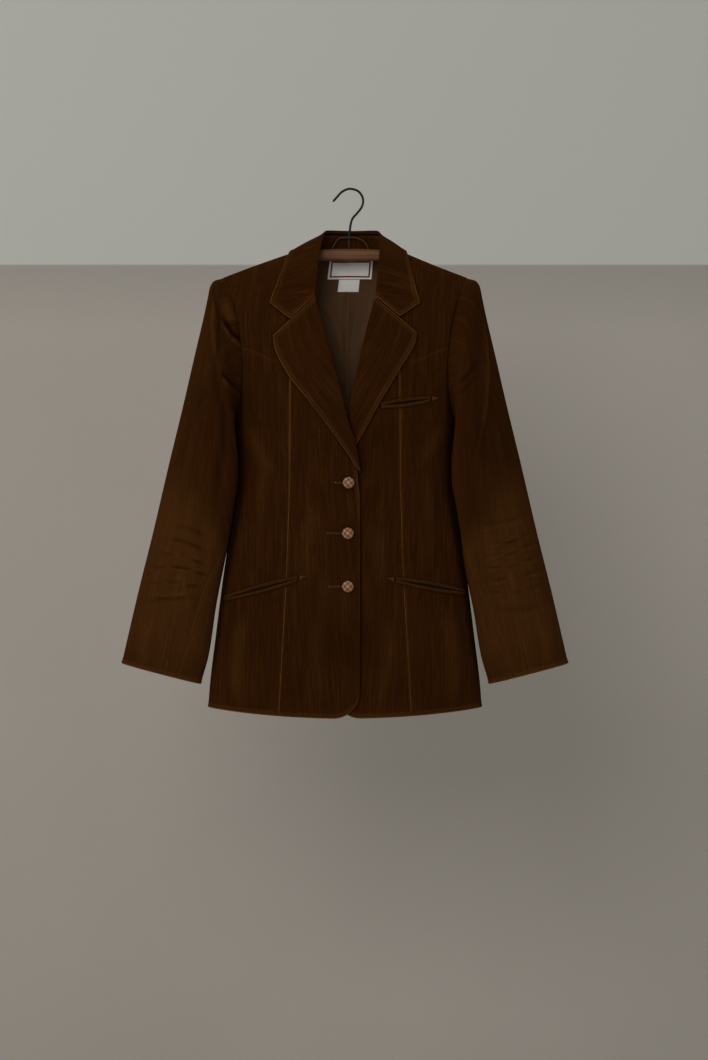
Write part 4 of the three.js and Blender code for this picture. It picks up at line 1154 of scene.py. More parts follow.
def front_yoke(side):
    shares = 1 - (1 - graded(170, 3.2, "seam", "seam")) ** 1.7
    u, v = grid_of(graded(140, 3.4, "seam", "seam"), shares)
    points, m, z = panel(
        side, FRONT, 120, lambda z: edge_m[side](z) + roll_set_back(z), None,
        lambda m: yoke_z(m) + 0.3, ridge_z, u, v,
    )
    relief = crease_height(FRONT_CREASES[side], m, z)
    lay_cloth(
        "front_yoke_" + side_word(side), points, ("plain", "head", "seam", "seam"), TOWARD_FRONT,
        relief=relief, uv=upright_uv(points, m),
    )


def back_panel(side):
    shares = 1 - (1 - graded(700, 4.2, "free", "seam")) ** 1.6
    u, v = grid_of(graded(230, 4.0, "seam", "seam"), shares)
    points, m, z = panel(
        side, BACK, 80, lambda z: 0 * z + SEAM_GAP / 2, None, back_hem_z, back_neck_z, u, v,
    )
    relief = crease_height(BACK_CREASES[side], m, z)
    lay_cloth(
        "back_" + side_word(side), points, ("seam", "head", "free", "seam"), TOWARD_BACK,
        relief=relief, uv=upright_uv(points, m),
    )


def sleeve_piece(side, node, around, start, end):
    u, v = grid_of(graded(around, 2.6, "seam", "seam"), graded(640, 2.3, "seam", "free"))
    s = v ** 1.35
    degrees = mix(start(s), end(s), u)
    points = sleeve_points(side, degrees, s)
    outer = sleeve_points(side, np.zeros_like(s), s)
    inner = sleeve_points(side, np.full_like(s, 180.0), s)
    centre = outer * 0.5 + inner * 0.5
    across = arcs(points, 1)
    half = points.shape[1] // 2
    uv = np.stack([across - across[:, half:half + 1], arcs(points, 0)[:, half:half + 1] + 0 * across], axis=-1)
    relief = sleeve_creases(side, degrees, points)
    fade = ease(0.42, 0.62, s) * (1 - 0.5 * ease(0.9, 1.0, s)) * (0.55 + 0.45 * np.sin(np.radians(degrees)))
    lay_cloth(
        node, points, ("seam", "seam", "head", "free"), points - centre, relief=relief, uv=uv, fade=fade,
    )


def lapel(side):
    """One turned-back front, rolled over its fold."""
    us = graded(95, 2.8, "plain", "free")
    lead = ROLL["fold"] * np.linspace(0, 1, 13)[:-1]
    us = np.concatenate([lead, ROLL["fold"] + (1 - ROLL["fold"]) * us])
    u, v = grid_of(us, graded(250, 3.0, "free", "plain"))
    z0 = mix(ROLL["top"], ROLL["break"], v)
    roll = np.stack([edge_m[side](z0), z0], axis=-1)
    rim = np.stack([line(v) for line in lapel_line[side]], axis=-1)
    reach = rim - roll
    length = np.linalg.norm(reach, axis=-1)
    fold = np.radians(mix(-90, 90, clamp01(u / ROLL["fold"])))
    flat = clamp01((u - ROLL["fold"]) / (1 - ROLL["fold"]))
    away = ROLL["radius"] * (1 - np.cos(fold)) + flat * np.maximum(1, length - ROLL["radius"])
    spot = roll + unit(reach) * away[..., None]
    rise = (ROLL["rest"] - 2 * ROLL["radius"]) * ease(0, 0.6, flat)
    belly = 2.2 * np.sin(math.pi * clamp01(flat)) * np.sin(math.pi * clamp01(v)) ** 0.7
    lift = ROLL["radius"] * (1 + np.sin(fold)) + rise + belly
    points = body_lifted(side, FRONT, spot[..., 0], spot[..., 1], lift)
    if side == RIGHT:
        points[..., 1] -= front_lift(side * spot[..., 0], spot[..., 1])
    across = arcs(points, 1)
    uv = np.stack([across[:, -1:] - across, arcs(points, 0)[:, -1:] + 0 * across], axis=-1)
    wrinkle = 0 * v
    if side == RIGHT:
        wrinkle = -0.9 * bell((v - 0.1 - 0.05 * flat) / 0.025) * bell((flat - 0.25) / 0.3)
    lay_cloth(
        "lapel_" + side_word(side), points, ("plain", "free", "free", "plain"), TOWARD_FRONT,
        relief=wrinkle, uv=uv, materials=[corduroy_material()],
    )


def collar_leaf():
    """The collar that falls outside, with its two notched corners."""
    share = FOLD["share"]
    lead = share * np.linspace(0, 1, 11)[:-1]
    us = np.concatenate([lead, share + (1 - share) * graded(70, 2.8, "plain", "free")])
    u, v = grid_of(us, graded(600, 3.4, "free", "free"))
    points = leaf_points(u, v)
    across = arcs(points, 1)
    along = arcs(points, 0)
    middle = along[:, -1:] - along[len(along) // 2, -1]
    lowered = leaf_points(u, v, 0.0)[..., 2] - points[..., 2]
    uv = np.stack([middle + np.where(v < 0.5, -1, 1) * lowered, across], axis=-1)
    outside = points - np.mean(points, axis=(0, 1))
    outside[..., 2] = np.abs(outside[..., 2]) + 20
    lay_cloth(
        "collar_leaf", points, ("plain", "free", "free", "free"), outside, uv=uv,
        materials=[corduroy_material()],
    )


def collar_stand():
    u, v = grid_of(graded(36, 2.6, "seam", "seam"), graded(330, 3.6, "seam", "seam"))
    points = stand_points(u, v)
    across = arcs(points, 1)
    along = arcs(points, 0)
    uv = np.stack([along[:, -1:] + 0 * across, across], axis=-1)
    lay_cloth(
        "collar_stand", points, ("seam", "seam", "seam", "seam"),
        points * [1, 1, 0], uv=uv, materials=[corduroy_material()],
    )


def back_lining(side):
    u, v = grid_of(graded(170, 3.6, "seam", "seam"), 1 - (1 - graded(670, 4.4, "plain", "plain")) ** 1.8)
    sine = np.sin(np.radians(LINING["spread"] * u))
    top = np.minimum(LINING["top"], ridge_z(sine * ARMHOLE["m"]) - LINING["drop"])
    z = mix(LINING["bottom"], top, v)
    m = body_section(sine, z)[0] * sine
    points = body_lifted(side, BACK, m, z, LINING["lift"])
    here = outward_of(side, points[..., 0], points[..., 2])
    points[..., 0] += side * np.maximum(0, SEAM_GAP / 2 - here)
    pleat = 1.3 * bell((m - 3.5) / 2.2) if side == LEFT else 0 * m
    relief = crease_height(LINING_CREASES, side * m, z) + pleat
    lay_cloth(
        "lining_back_" + side_word(side), points, ("seam", "plain", "plain", "plain"), TOWARD_FRONT,
        thick=LINING["thick"], relief=relief, materials=[lining_material()],
    )


def label_piece(node):
    """A bare woven label sewn flat on the lining."""
    m0, m1, top, bottom, thick = LABELS[node]
    us = np.linspace(0, 1, 120)
    vs = np.linspace(0, 1, 56)
    u, v = grid_of(us, vs)
    lift = LINING["lift"] - LINING["thick"] / 2 - 1.04 - thick / 2
    puff = 0.5 * np.sin(math.pi * u) * np.sin(math.pi * v)
    points = body_lifted(LEFT, BACK, mix(m0, m1, u), mix(bottom, top, v), lift - puff)
    across = arcs(points, 1)
    along = arcs(points, 0)
    name = node + "_cloth"
    shape = round_off(np.minimum(np.minimum(across, across[:, -1:] - across),
                                 np.minimum(along, along[-1:] - along)), 0.6)
    normals = unit(np.cross(np.gradient(points, axis=1), np.gradient(points, axis=0)))
    if np.mean(normals * TOWARD_FRONT) < 0:
        normals = -normals
    near = np.minimum(np.minimum(across, across[:, -1:] - across), np.minimum(along, along[-1:] - along))
    border = 1 - ease(0.9, 1.5, np.abs(near - 4.2)) if node == "neck_label" else 0 * near
    thread = -0.12 * bell((near - 1.4) / 0.4)
    outer = points + normals * ((thick / 2 + thread) * shape)[..., None]
    inner = points - normals * (thick / 2 * shape)[..., None]
    uv = np.stack([across, along], axis=-1)
    piece = grid_mesh(name, outer, inner, uv, {"wear": 0 * near, "crease": 0 * near, "border": border},
                      [label_material()])
    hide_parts(node)
    LAID[node] = (points, normals, [across, across[:, -1:] - across, along, along[-1:] - along])


def hanging_loop():
    """The twisted cord loop at the back of the neck."""
    spots = []
    for w, up, off in LOOP_ROWS:
        side = RIGHT if w < 0 else LEFT
        roll, seam, _, _ = collar_frame(side, np.array([abs(w)]))
        spots.append((mix(seam, roll, up) + [0, -off, 0])[0])
    path = smooth_path(spots, 120)
    along = unit(np.gradient(path, axis=0))
    side = unit(np.cross(along, [0, -1.0, 0]))
    out = np.cross(side, along)
    turn = np.linspace(0, 2 * math.pi * 14, len(path))
    parts = []
    for phase in (0, math.pi):
        shift = np.cos(turn + phase)[:, None] * side + np.sin(turn + phase)[:, None] * out
        vertices, faces, uv = tube(path + shift * 0.72, 0.85, 8)
        parts.append((vertices * MM, faces, uv * MM, 0))
    piece = joined("hanging_loop_cord", parts, [cord_material()])
    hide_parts("hanging_loop")


def on_front(side, m, z, lift):
    """A point sewn on the front, over its creases and its overlap."""
    height = lift + crease_height(FRONT_CREASES[side], m, z)
    points = body_lifted(side, FRONT, m, z, height)
    if side == RIGHT:
        points[..., 1] -= front_lift(points[..., 0] - CENTRE_X, z)
    return points


def pocket(name):
    """The two jets of a slit pocket, drawn apart at the middle, and the strip of pocket lining in the slit,
    darkened as painted shade.
    """
    side, m0, z0, m1, z1, gap = POCKETS[name]
    for word, sign in (("upper", 1), ("lower", -1)):
        node = f"{name}_{word}_jet"
        u, v = grid_of(np.linspace(0, 1, 12), graded(95, 1.6, "plain", "plain"))
        m = mix(m0, m1, v)
        opening = 0.1 + gap / 2 * np.sin(math.pi * v)
        z = mix(z0, z1, v) + sign * (opening + 4.2 * u)
        points = on_front(side, m, z, 1.75 + 0.5 * np.sin(math.pi * u))
        across = arcs(points, 1)
        uv = np.stack([arcs(points, 0), across], axis=-1)
        piece = cloth_piece(
            node + "_cloth", points, ("plain", "plain", "plain", "plain"), TOWARD_FRONT, 1.5,
            uv=uv, materials=[corduroy_material()],
        )
        wear = piece.data.attributes["wear"]
        edge = 0.1 + 0.75 * bell((u - 0.1) / 0.13) + 0.55 * bell((u - 0.95) / 0.12)
        inner = np.zeros(u.shape, bool)
        inner[1:-1, 1:-1] = True
        wear.data.foreach_set("value", np.concatenate([edge.ravel(), edge[inner]]).astype(np.float32))
        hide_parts(node)
    # The pocket lining seen in the slit, at 0.12 of the lining's colour: painted shade of the deep slit.
    u, v = grid_of(np.linspace(-1, 1, 9), graded(95, 2.0, "plain", "plain"))
    m = mix(m0, m1, v)
    z = mix(z0, z1, v) + u * (0.3 + gap / 2 * np.sin(math.pi * v))
    points = on_front(side, m, z, 1.0 - 0.12 * (1 - u * u))
    mouth = cloth_piece(
        name + "_mouth", points, ("plain", "plain", "plain", "plain"), TOWARD_FRONT, 0.3,
        materials=[shaded_pocket_lining_material()],
    )


# Pocket lining darkened to 0.12 of its colour: painted shade inside the slit.
def shaded_pocket_lining_material():
    return woven_material(
        "jacket_pocket_lining_painted_shade", scaled(bpy.context.scene.jacket_looks.lining, 0.12), 1500.0, 0.9, 0.0,
    )


def dash(start, end, out, radius, raised=0.3):
    """One stitch: a short thread that dips into the cloth at both ends."""
    t = np.array([0.0, 0.2, 0.5, 0.8, 1.0])[:, None]
    height = np.array([-0.35, 0.6, 1.0, 0.6, -0.35])[:, None] * raised
    path = start + (end - start) * t + out * height
    vertices, faces, uv = tube(path, radius * np.array([0.6, 1, 1, 1, 0.6]), 6, up=out)
    return vertices * MM, faces, uv * MM, 0


def run_stitches(path, out, pitch, length, radius):
    """Evenly spaced stitches along a line of the cloth."""
    run = np.concatenate([[0], np.cumsum(np.linalg.norm(np.diff(path, axis=0), axis=1))])
    count = int(run[-1] / pitch)
    parts = []
    for k in range(count):
        at = (k + 0.5) * pitch
        ends = [
            np.array([np.interp(at + shift, run, path[:, axis]) for axis in range(3)])
            for shift in (-length / 2, length / 2)
        ]
        normal = np.array([np.interp(at, run, out[:, axis]) for axis in range(3)])
        parts.append(dash(ends[0], ends[1], normal, radius))
    return parts


def inset_line(node, edge, inset):
    """The line on a laid piece that runs at a distance inside one of its edges."""
    face, normals, gaps = LAID[node]
    gap = gaps[edge]
    others = [g for k, g in enumerate(gaps) if k // 2 != edge // 2]
    if edge >= 2:
        face, normals = (np.swapaxes(a, 0, 1) for a in (face, normals))
        gap = gap.T
        others = [g.T for g in others]
    line = []
    outs = []
    keep = []
    for j in range(face.shape[0]):
        order = np.argsort(gap[j])
        spots = gap[j][order]
        line.append([np.interp(inset, spots, face[j, order, k]) for k in range(3)])
        outs.append([np.interp(inset, spots, normals[j, order, k]) for k in range(3)])
        keep.append(all(np.interp(inset, spots, g[j][order]) > inset * 0.98 for g in others))
    keep = np.array(keep)
    return np.array(line)[keep], unit(np.array(outs)[keep])


def stitching(name, lines, thread):
    """Topstitching 6 mm inside the named edges, all in one piece."""
    looks = bpy.context.scene.jacket_looks
    parts = []
    for node, edge, low, high in lines:
        line, out = inset_line(node, edge, looks.stitch_inset / MM)
        kept = (line[:, 2] > low) & (line[:, 2] < high)
        if kept.sum() > 3:
            line = line[kept] - out[kept] * 0.35
            parts.extend(run_stitches(line, out[kept], looks.stitch_pitch / MM, 2.5, 0.33))
    piece = joined(name, parts, [thread])
    return piece


def arrow_tack(name, side, m, z, way, slope):
    """A small arrowhead of close stitches at a pocket's end."""
    parts = []
    for k in range(8):
        share = k / 7
        at = m + way * (1.2 + 8.0 * share)
        reach = 0.5 + 3.2 * (1 - share)
        middle = z + slope * (at - m)
        ends = on_front(side, np.array([at, at]), np.array([middle - reach, middle + reach]), 1.05)
        parts.append(dash(ends[0], ends[1], TOWARD_FRONT, 0.42, 0.5))
    piece = joined(name, parts, [thread_material("jacket_tack_thread", bpy.context.scene.jacket_looks.thread)])
    return piece


def buttonhole(name, x, z, reach):
    """A worked slit with close stitches and a bar at its inner end."""
    parts = []
    count = int(reach / 0.75)
    for k in range(count):
        at = x - 1 - reach * k / (count - 1)
        for sign in (1, -1):
            ends = on_front(RIGHT, np.array([-at, -at]), z + sign * np.array([0.25, 1.5]), 1.1)
            parts.append(dash(ends[0], ends[1], TOWARD_FRONT, 0.33, 0.35))
    for shift in (-0.6, 0.0, 0.6):
        at = x - 1 - reach + shift
        ends = on_front(RIGHT, np.array([-at, -at]), z + np.array([-2.0, 2.0]), 1.3)
        parts.append(dash(ends[0], ends[1], TOWARD_FRONT, 0.36, 0.4))
    piece = joined(name, parts, [thread_material("jacket_tack_thread", bpy.context.scene.jacket_looks.thread)])
    return piece


def leather_button(name):
    """A domed button of plaited leather strands."""
    x, z = BUTTONS[name]
    looks = bpy.context.scene.jacket_looks
    radius = looks.button_width / 2 / MM
    rim, height = 3.2, 7.0
    a, b = grid_of(np.linspace(-1, 1, 61), np.linspace(-1, 1, 61))
    disc_x = a * np.sqrt(1 - b * b / 2)
    disc_y = b * np.sqrt(1 - a * a / 2)
    size = np.clip(np.hypot(disc_x, disc_y), 0, 1)
    dome = rim * 0.5 + (height - rim * 0.5) * np.sqrt(np.maximum(0, 1 - size ** 2.3))
    p = (a + 1) * 1.25 + 0.25
    q = (b + 1) * 1.25 + 0.25
    over = (np.floor(p) + np.floor(q)) % 2 == 0
    across = np.where(over, p % 1, q % 1)
    along = np.where(over, q % 1, p % 1)
    strand = np.maximum(0, 1 - (2 * across - 1) ** 2) ** 0.45
    arch = np.sin(math.pi * along).clip(0) ** 0.5
    weave = strand * (0.45 + 0.55 * arch)
    shape = np.sqrt(np.maximum(0, 1 - size ** 8))
    top = dome - 1.6 * (1 - weave) * shape
    under = rim * 0.5 * size ** 6
    seat = body_lifted(RIGHT, FRONT, np.array([-x]), np.array([z]), 0.0)[0]
    seat[1] -= float(front_lift(np.float64(x), np.float64(z))) + 0.75 + 0.4
    turn = math.radians({"button_upper": 38, "button_middle": 52, "button_lower": 44}[name])

    def put(h):
        px = radius * (disc_x * math.cos(turn) - disc_y * math.sin(turn))
        pz = radius * (disc_x * math.sin(turn) + disc_y * math.cos(turn))
        return np.stack([seat[0] + px, seat[1] - h, seat[2] + pz], axis=-1)

    # Here the crease mark is the depth between strands, which the leather paints as shade.
    marks = {"wear": weave ** 3 * 0.9, "crease": clamp01(1.25 * (1 - weave)) ** 1.3 * shape}
    uv = np.stack([a * radius, b * radius], axis=-1)
    piece = grid_mesh(name + "_leather", put(top), put(under), uv, marks, [leather_material()])
    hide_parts(name)


def hanger_bar():
    """The wooden bar of the hanger."""
    columns = 170
    turns = np.arange(28) * 2 * math.pi / 28
    up = 0.5 + 0.5 * np.sign(np.sin(turns)) * np.abs(np.sin(turns)) ** 0.55
    across = 0.5 * np.sign(np.cos(turns)) * np.abs(np.cos(turns)) ** 0.55
    xs = BAR["reach"] * np.sin(np.linspace(-1, 1, columns) * math.pi / 2 * 0.97) / math.sin(math.pi / 2 * 0.97)
    side = np.where(xs > CENTRE_X, LEFT, RIGHT)
    m = outward_of(side, xs, BAR["top"])
    top = np.minimum(BAR["top"] - 0.0006 * xs * xs, ridge_z(m) - BAR["under"])
    smooth = np.convolve(np.pad(top, 4, mode="edge"), np.ones(9) / 9, mode="valid")
    top = np.minimum(top, smooth)
    end = clamp01((np.abs(xs) - BAR["reach"] + 9) / 9)
    shrink = np.sqrt(np.maximum(0.02, 1 - end * end))
    height = mix(BAR["middle"], BAR["tip"], np.abs(xs) / BAR["reach"])
    centre_z = top - height / 2
    y = across[None, :] * BAR["thick"] * shrink[:, None]
    z = centre_z[:, None] + (up[None, :] - 0.5) * height[:, None] * shrink[:, None]
    x = xs[:, None] + 0 * y
    ring = np.stack([x, y, z], axis=-1)
    count = len(turns)
    index = np.arange(columns * count).reshape(columns, count)
    after = np.roll(index, -1, axis=1)
    faces = np.stack([index[:-1], after[:-1], after[1:], index[1:]], axis=-1).reshape(-1, 4)
    ends = np.array([[xs[0], 0, centre_z[0]], [xs[-1], 0, centre_z[-1]]])
    first = np.full(count, columns * count)
    caps = [
        np.stack([after[0], index[0], first, first], axis=-1),
        np.stack([index[-1], after[-1], first + 1, first + 1], axis=-1),
    ]
    vertices = np.concatenate([ring.reshape(-1, 3), ends])
    uv = vertices[:, [0, 2]]
    piece = joined(
        "hanger_bar_wood", [(vertices * MM, np.concatenate([faces, *caps]), uv * MM, 0)], [wood_material()],
    )
    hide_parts("hanger_bar")


def hanger_hook():
    spots = [(x, 0.0, z) for x, z in HOOK_ROWS]
    path = smooth_path(spots, 150)
    radii = np.full(len(path), 1.75)
    radii[:4] = [0.5, 1.2, 1.6, 1.75]
    vertices, faces, uv = tube(path, radii, 16)
    piece = joined("hanger_hook_wire", [(vertices * MM, faces, uv * MM, 0)], [wire_material()])
    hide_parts("hanger_hook")


# Settings that a user would change
class JacketLooks(bpy.types.PropertyGroup):
    """Colours and fine sizes of the cloth and its trimmings"""

    corduroy: bpy.props.FloatVectorProperty(
        name="Corduroy", description="Colour of the ribbed cloth", subtype="COLOR",
        size=3, min=0, max=1, default=(0.0265, 0.0084, 0.0017),
    )
    # Paler colour of rubbed pile, and also of the painted highlight on crease crests.
    corduroy_worn_and_highlight: bpy.props.FloatVectorProperty(
        name="Worn and Highlight Corduroy", description="Colour where the pile is rubbed", subtype="COLOR",
        size=3, min=0, max=1, default=(0.13, 0.051, 0.0135),
    )
    edge_wear: bpy.props.FloatProperty(
        name="Edge Wear", description="How much the pile is rubbed along edges and seams",
        subtype="FACTOR", min=0, max=2, default=1.3,
    )
    lining: bpy.props.FloatVectorProperty(
        name="Lining", description="Colour of the lining", subtype="COLOR",
        size=3, min=0, max=1, default=(0.092, 0.039, 0.0115),
    )
    label: bpy.props.FloatVectorProperty(
        name="Label", description="Colour of the bare labels", subtype="COLOR",
        size=3, min=0, max=1, default=(0.92, 0.88, 0.84),
    )
    label_border: bpy.props.FloatVectorProperty(
        name="Label Border", description="Colour of the line round the large label", subtype="COLOR",
        size=3, min=0, max=1, default=(0.16, 0.014, 0.014),
    )
    leather: bpy.props.FloatVectorProperty(
        name="Button Leather", description="Colour of the plaited buttons", subtype="COLOR",
        size=3, min=0, max=1, default=(0.25, 0.112, 0.047),
    )
    thread: bpy.props.FloatVectorProperty(
        name="Tack Thread", description="Colour of buttonholes and tacks", subtype="COLOR",
        size=3, min=0, max=1, default=(0.115, 0.052, 0.018),
    )
    seam_thread: bpy.props.FloatVectorProperty(
        name="Seam Thread", description="Colour of the topstitching", subtype="COLOR",
        size=3, min=0, max=1, default=(0.085, 0.035, 0.011),
    )
    cord: bpy.props.FloatVectorProperty(
        name="Loop Cord", description="Colour of the hanging loop", subtype="COLOR",
        size=3, min=0, max=1, default=(0.085, 0.042, 0.018),
    )
    wood: bpy.props.FloatVectorProperty(
        name="Hanger Wood", description="Colour of the hanger's bar", subtype="COLOR",
        size=3, min=0, max=1, default=(0.125, 0.047, 0.013),
    )
    wire: bpy.props.FloatVectorProperty(
        name="Hook Wire", description="Colour of the hanger's hook", subtype="COLOR",
        size=3, min=0, max=1, default=(0.018, 0.015, 0.013),
    )
    wale_pitch: bpy.props.FloatProperty(
        name="Wale Pitch", description="Distance from rib to rib", subtype="DISTANCE",
        unit="LENGTH", min=0.001, max=0.006, default=0.0027,
    )
    stitch_pitch: bpy.props.FloatProperty(
        name="Stitch Pitch", description="Distance from stitch to stitch", subtype="DISTANCE",
        unit="LENGTH", min=0.002, max=0.006, default=0.0034,
    )
    stitch_inset: bpy.props.FloatProperty(
        name="Stitch Inset", description="Distance of the topstitching from the edge",
        subtype="DISTANCE", unit="LENGTH", min=0.003, max=0.01, default=0.006,
    )
    button_width: bpy.props.FloatProperty(
        name="Button Width", description="Diameter of a button", subtype="DISTANCE",
        unit="LENGTH", min=0.01, max=0.03, default=0.0172,
    )


class JacketStage(bpy.types.PropertyGroup):
    """Floor, wall, lights and camera"""

    wall: bpy.props.FloatVectorProperty(
        name="Wall", description="Colour of the plain wall and floor", subtype="COLOR",
        size=3, min=0, max=1, default=(0.475, 0.44, 0.395),
    )
    camera_distance: bpy.props.FloatProperty(
        name="Camera Distance", description="From the hook to the camera", subtype="DISTANCE",
        unit="LENGTH", min=1.5, max=6.0, default=4.5,
    )
    camera_height: bpy.props.FloatProperty(
        name="Camera Height", description="Camera's height from the hook", subtype="DISTANCE",
        unit="LENGTH", default=-0.510,
    )
    frame_height: bpy.props.FloatProperty(
        name="Frame Height", description="Height of the picture at the hanger", subtype="DISTANCE",
        unit="LENGTH", min=0.8, max=3.0, default=1.59,
    )
    key_power: bpy.props.FloatProperty(
        name="Key Light", description="Power of the large soft light", subtype="POWER",
        unit="POWER", min=0, default=26.0,
    )
    fill_power: bpy.props.FloatProperty(
        name="Fill Light", description="Power of the light from the other side", subtype="POWER",
        unit="POWER", min=0, default=5.0,
    )
    front_power: bpy.props.FloatProperty(
        name="Front Light", description="Power of the soft light from the front", subtype="POWER",
        unit="POWER", min=0, default=56.0,
    )


# Steps
class JACKET_OT_body(bpy.types.Operator):
    """Hang the fronts, yokes and back panels"""

    bl_idname = "jacket.body"
    bl_label = "Fronts and Back"

    def execute(self, context):
        for side in (RIGHT, LEFT):
            front_yoke(side)
            front_centre(side)
            front_side(side)
            back_panel(side)
        return {"FINISHED"}


class JACKET_OT_sleeves(bpy.types.Operator):
    """Set in the two-piece sleeves"""

    bl_idname = "jacket.sleeves"
    bl_label = "Sleeves"

    def execute(self, context):
        for side in (RIGHT, LEFT):
            word = side_word(side)
            sleeve_piece(
                side, "top_sleeve_" + word, 250, lambda s: hind_seam(s) + 0.1, lambda s: fore_seam(s) - 0.1,
            )
            sleeve_piece(
                side, "under_sleeve_" + word, 100, lambda s: fore_seam(s) + 0.1,
                lambda s: hind_seam(s) + 359.9,
            )
        return {"FINISHED"}


class JACKET_OT_collar(bpy.types.Operator):
    """Turn the collar and the lapels"""

    bl_idname = "jacket.collar"
    bl_label = "Collar and Lapels"

    def execute(self, context):
        lapel(RIGHT)
        lapel(LEFT)
        collar_leaf()
        collar_stand()
        return {"FINISHED"}


class JACKET_OT_lining(bpy.types.Operator):
    """Line the back, and sew in the labels and the loop"""

    bl_idname = "jacket.lining"
    bl_label = "Lining, Labels and Loop"

    def execute(self, context):
        back_lining(RIGHT)
        back_lining(LEFT)
        for node in LABELS:
            label_piece(node)
        hanging_loop()
        return {"FINISHED"}


class JACKET_OT_pockets(bpy.types.Operator):
    """Set the jetted pockets with their tacks"""

    bl_idname = "jacket.pockets"
    bl_label = "Pockets"

    def execute(self, context):
        for name in POCKETS:
            pocket(name)
        arrow_tack("breast_pocket_tack", LEFT, 129, -315.2, 1, 0.13)
        arrow_tack("hip_pocket_right_tack", RIGHT, 68, -581.5, -1, -0.27)
        arrow_tack("hip_pocket_left_tack", LEFT, 73.5, -583.7, -1, -0.18)
        return {"FINISHED"}


class JACKET_OT_fastening(bpy.types.Operator):
    """Sew on the plaited buttons and work their buttonholes"""

    bl_idname = "jacket.fastening"
    bl_label = "Buttons and Buttonholes"

    def execute(self, context):
        for name, reach in (("button_upper", 19), ("button_middle", 29), ("button_lower", 27)):
            x, z = BUTTONS[name]
            buttonhole(name + "_hole", x, z, reach)
            leather_button(name)
        return {"FINISHED"}


class JACKET_OT_stitching(bpy.types.Operator):
    """Topstitch the finished edges"""

    bl_idname = "jacket.stitching"
    bl_label = "Topstitching"

    def execute(self, context):
        thread = thread_material("jacket_seam_thread", context.scene.jacket_looks.seam_thread)
        for side in (RIGHT, LEFT):
            word = side_word(side)
            stitching("front_stitching_" + word, [
                ("front_centre_" + word, 0, -790, -430), ("front_centre_" + word, 2, -800, -700),
                ("front_side_" + word, 2, -800, -700),
            ], thread)
            stitching("back_stitching_" + word, [("back_" + word, 2, -800, -700)], thread)
            stitching("lapel_stitching_" + word, [
                ("lapel_" + word, 1, -418, -150), ("lapel_" + word, 2, -418, -150),
            ], thread)
        stitching("collar_stitching", [
            ("collar_leaf", 1, -300, 0), ("collar_leaf", 2, -300, -168), ("collar_leaf", 3, -300, -168),
        ], thread)
        return {"FINISHED"}


class JACKET_OT_hanger(bpy.types.Operator):
    """Make the wooden bar and its wire hook"""

    bl_idname = "jacket.hanger"
    bl_label = "Hanger"

    def execute(self, context):
        hanger_bar()
        hanger_hook()
        return {"FINISHED"}


class JACKET_OT_declare(bpy.types.Operator):
    """Gather the names of the stitching, button and breast-pocket pieces on each front; nothing further is done
    with them
    """

    bl_idname = "jacket.declare"
    bl_label = "Cloth Sizes"

    def execute(self, context):
        def named(*words):
            return [o.name for o in bpy.data.objects if o.name in words or o.name.startswith(words)]

        for word in ("right", "left"):
            front = ["front_stitching_" + word]
            if word == "right":
                front = front + [name for name in named("button_") if name.endswith(("_leather", "_hole"))]
            else:
                shown = named("breast_pocket")
                front = front + [name for name in shown if "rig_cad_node" not in bpy.data.objects[name]]
        return {"FINISHED"}


def stage_plane(name, corners, material):
    mesh = bpy.data.meshes.new(name)
    mesh.from_pydata(corners, [], [tuple(range(len(corners)))])
    mesh.materials.append(material)
    piece = bpy.data.objects.new(name, mesh)
    bpy.context.scene.collection.objects.link(piece)
    return piece


def see_through_from_behind(nodes, shader):
    """Lets a view from behind the wall see the jacket."""
    clear = nodes.add("ShaderNodeBsdfTransparent").outputs[0]
    behind = nodes.add("ShaderNodeNewGeometry").outputs["Backfacing"]
    both = nodes.add("ShaderNodeMixShader", {0: behind, 1: shader.outputs[0], 2: clear})
    finish = nodes.tree.nodes["Material Output"]
    nodes.put(finish, "Surface", both.outputs[0])


def soft_light(name, place_at, aim, size, power, colour):
    light = bpy.data.lights.new(name, "AREA")
    light.shape = "RECTANGLE"
    light.size = size[0]
    light.size_y = size[1]
    light.energy = power
    light.color = colour
    lamp = bpy.data.objects.new(name, light)
    lamp.visible_camera = False
    lamp.location = place_at
    lamp.rotation_euler = (Vector(aim) - Vector(place_at)).to_track_quat("-Z", "Y").to_euler()
    bpy.context.scene.collection.objects.link(lamp)
    return lamp


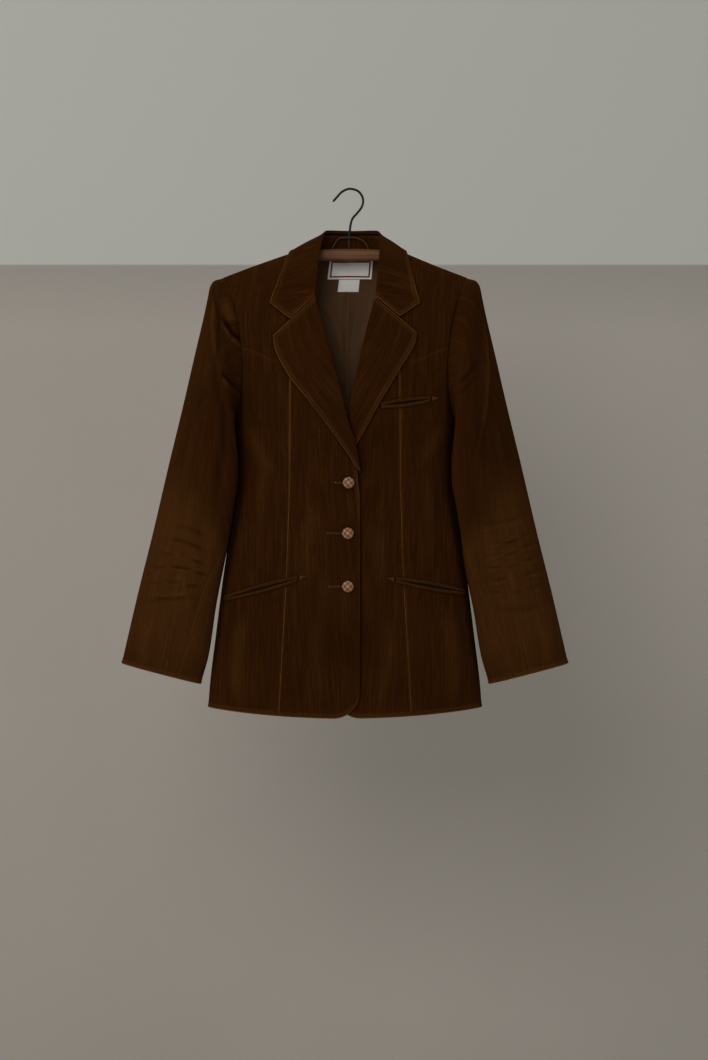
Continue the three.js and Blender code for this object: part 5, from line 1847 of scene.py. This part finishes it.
class JACKET_OT_stage(bpy.types.Operator):
    """Set the floor, the wall, the soft lights and the camera"""

    bl_idname = "jacket.stage"
    bl_label = "Stage"

    def execute(self, context):
        stage = context.scene.jacket_stage
        scene = context.scene
        material, nodes, shader = new_material("plain_wall", stage.wall, 0.9)
        place_at = nodes.add("ShaderNodeTexCoord").outputs["Object"]
        height = nodes.add("ShaderNodeSeparateXYZ", {0: place_at}).outputs[2]
        mottle = nodes.ramp(nodes.noise(place_at, 1.6, 3.0), 0.3, 0.7)
        tone = nodes.blend_colour(mottle, scaled(stage.wall, 0.97), scaled(stage.wall, 1.03))
        shadow = nodes.ramp(height, -0.14, -0.015)
        tone = nodes.blend_colour(nodes.math("MULTIPLY", shadow, 0.8), tone, scaled(stage.wall, 0.8))
        tone = nodes.blend_colour(nodes.ramp(height, -0.017, -0.013), tone, (0.6, 0.6, 0.56, 1))
        nodes.put(shader, "Base Color", tone)
        set_bump(nodes, shader, nodes.noise(place_at, 260.0, 4.0), 0.0006, 0.25)
        see_through_from_behind(nodes, shader)
        floor_z = -1.6
        wall_y = 1.1
        stage_plane("floor", [(-6, -6, floor_z), (6, -6, floor_z), (6, 6, floor_z), (-6, 6, floor_z)], material)
        stage_plane(
            "wall", [(-6, wall_y, floor_z), (6, wall_y, floor_z), (6, wall_y, 3), (-6, wall_y, 3)], material,
        )
        world = bpy.data.worlds.new("soft_room")
        world.use_nodes = True
        world.node_tree.nodes["Background"].inputs["Color"].default_value = (0.98, 0.98, 0.96, 1)
        world.node_tree.nodes["Background"].inputs["Strength"].default_value = 0.3
        scene.world = world
        soft_light(
            "window_light", (-2.2, -2.0, 1.0), (0, 0, -0.35), (1.6, 1.6), stage.key_power, (1.0, 0.98, 0.95),
        )
        soft_light(
            "fill_light", (2.4, -2.2, 0.0), (0, 0, -0.45), (2.0, 2.0), stage.fill_power, (0.97, 0.98, 1.0),
        )
        soft_light(
            "front_light", (-0.9, -4.4, 0.7), (0, 0, -0.4), (1.6, 1.6), stage.front_power, (1.0, 0.99, 0.96),
        )
        lens = bpy.data.cameras.new("photo_view")
        lens.sensor_fit = "AUTO"
        lens.sensor_width = 36.0
        lens.lens = 36.0 * stage.camera_distance / stage.frame_height
        camera = bpy.data.objects.new("photo_view", lens)
        camera.location = (0.0075, -stage.camera_distance, stage.camera_height)
        camera.rotation_euler = (math.pi / 2, 0, 0)
        scene.collection.objects.link(camera)
        scene.camera = camera
        scene.view_settings.view_transform = "Standard"
        return {"FINISHED"}


STEPS = (
    JACKET_OT_stage, JACKET_OT_body, JACKET_OT_sleeves, JACKET_OT_collar, JACKET_OT_lining,
    JACKET_OT_pockets, JACKET_OT_fastening, JACKET_OT_stitching, JACKET_OT_hanger, JACKET_OT_declare,
)


class JACKET_PT_panel(bpy.types.Panel):
    """The jacket's steps and settings"""

    bl_idname = "JACKET_PT_panel"
    bl_label = "Corduroy Jacket"
    bl_space_type = "VIEW_3D"
    bl_region_type = "UI"
    bl_category = "Jacket"

    def draw(self, context):
        for group in (context.scene.jacket_looks, context.scene.jacket_stage):
            for key in group.__annotations__:
                self.layout.prop(group, key)
        for step in STEPS:
            self.layout.operator(step.bl_idname)


CLASSES = (JacketLooks, JacketStage, *STEPS, JACKET_PT_panel)


def register():
    for item in CLASSES:
        bpy.utils.register_class(item)
    bpy.types.Scene.jacket_looks = bpy.props.PointerProperty(type=JacketLooks)
    bpy.types.Scene.jacket_stage = bpy.props.PointerProperty(type=JacketStage)


def unregister():
    del bpy.types.Scene.jacket_stage
    del bpy.types.Scene.jacket_looks
    for item in reversed(CLASSES):
        bpy.utils.unregister_class(item)


def main():
    register()
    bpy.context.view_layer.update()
    for step in STEPS:
        group, name = step.bl_idname.split(".")
        getattr(getattr(bpy.ops, group), name)()


if __name__ == "__main__":
    main()
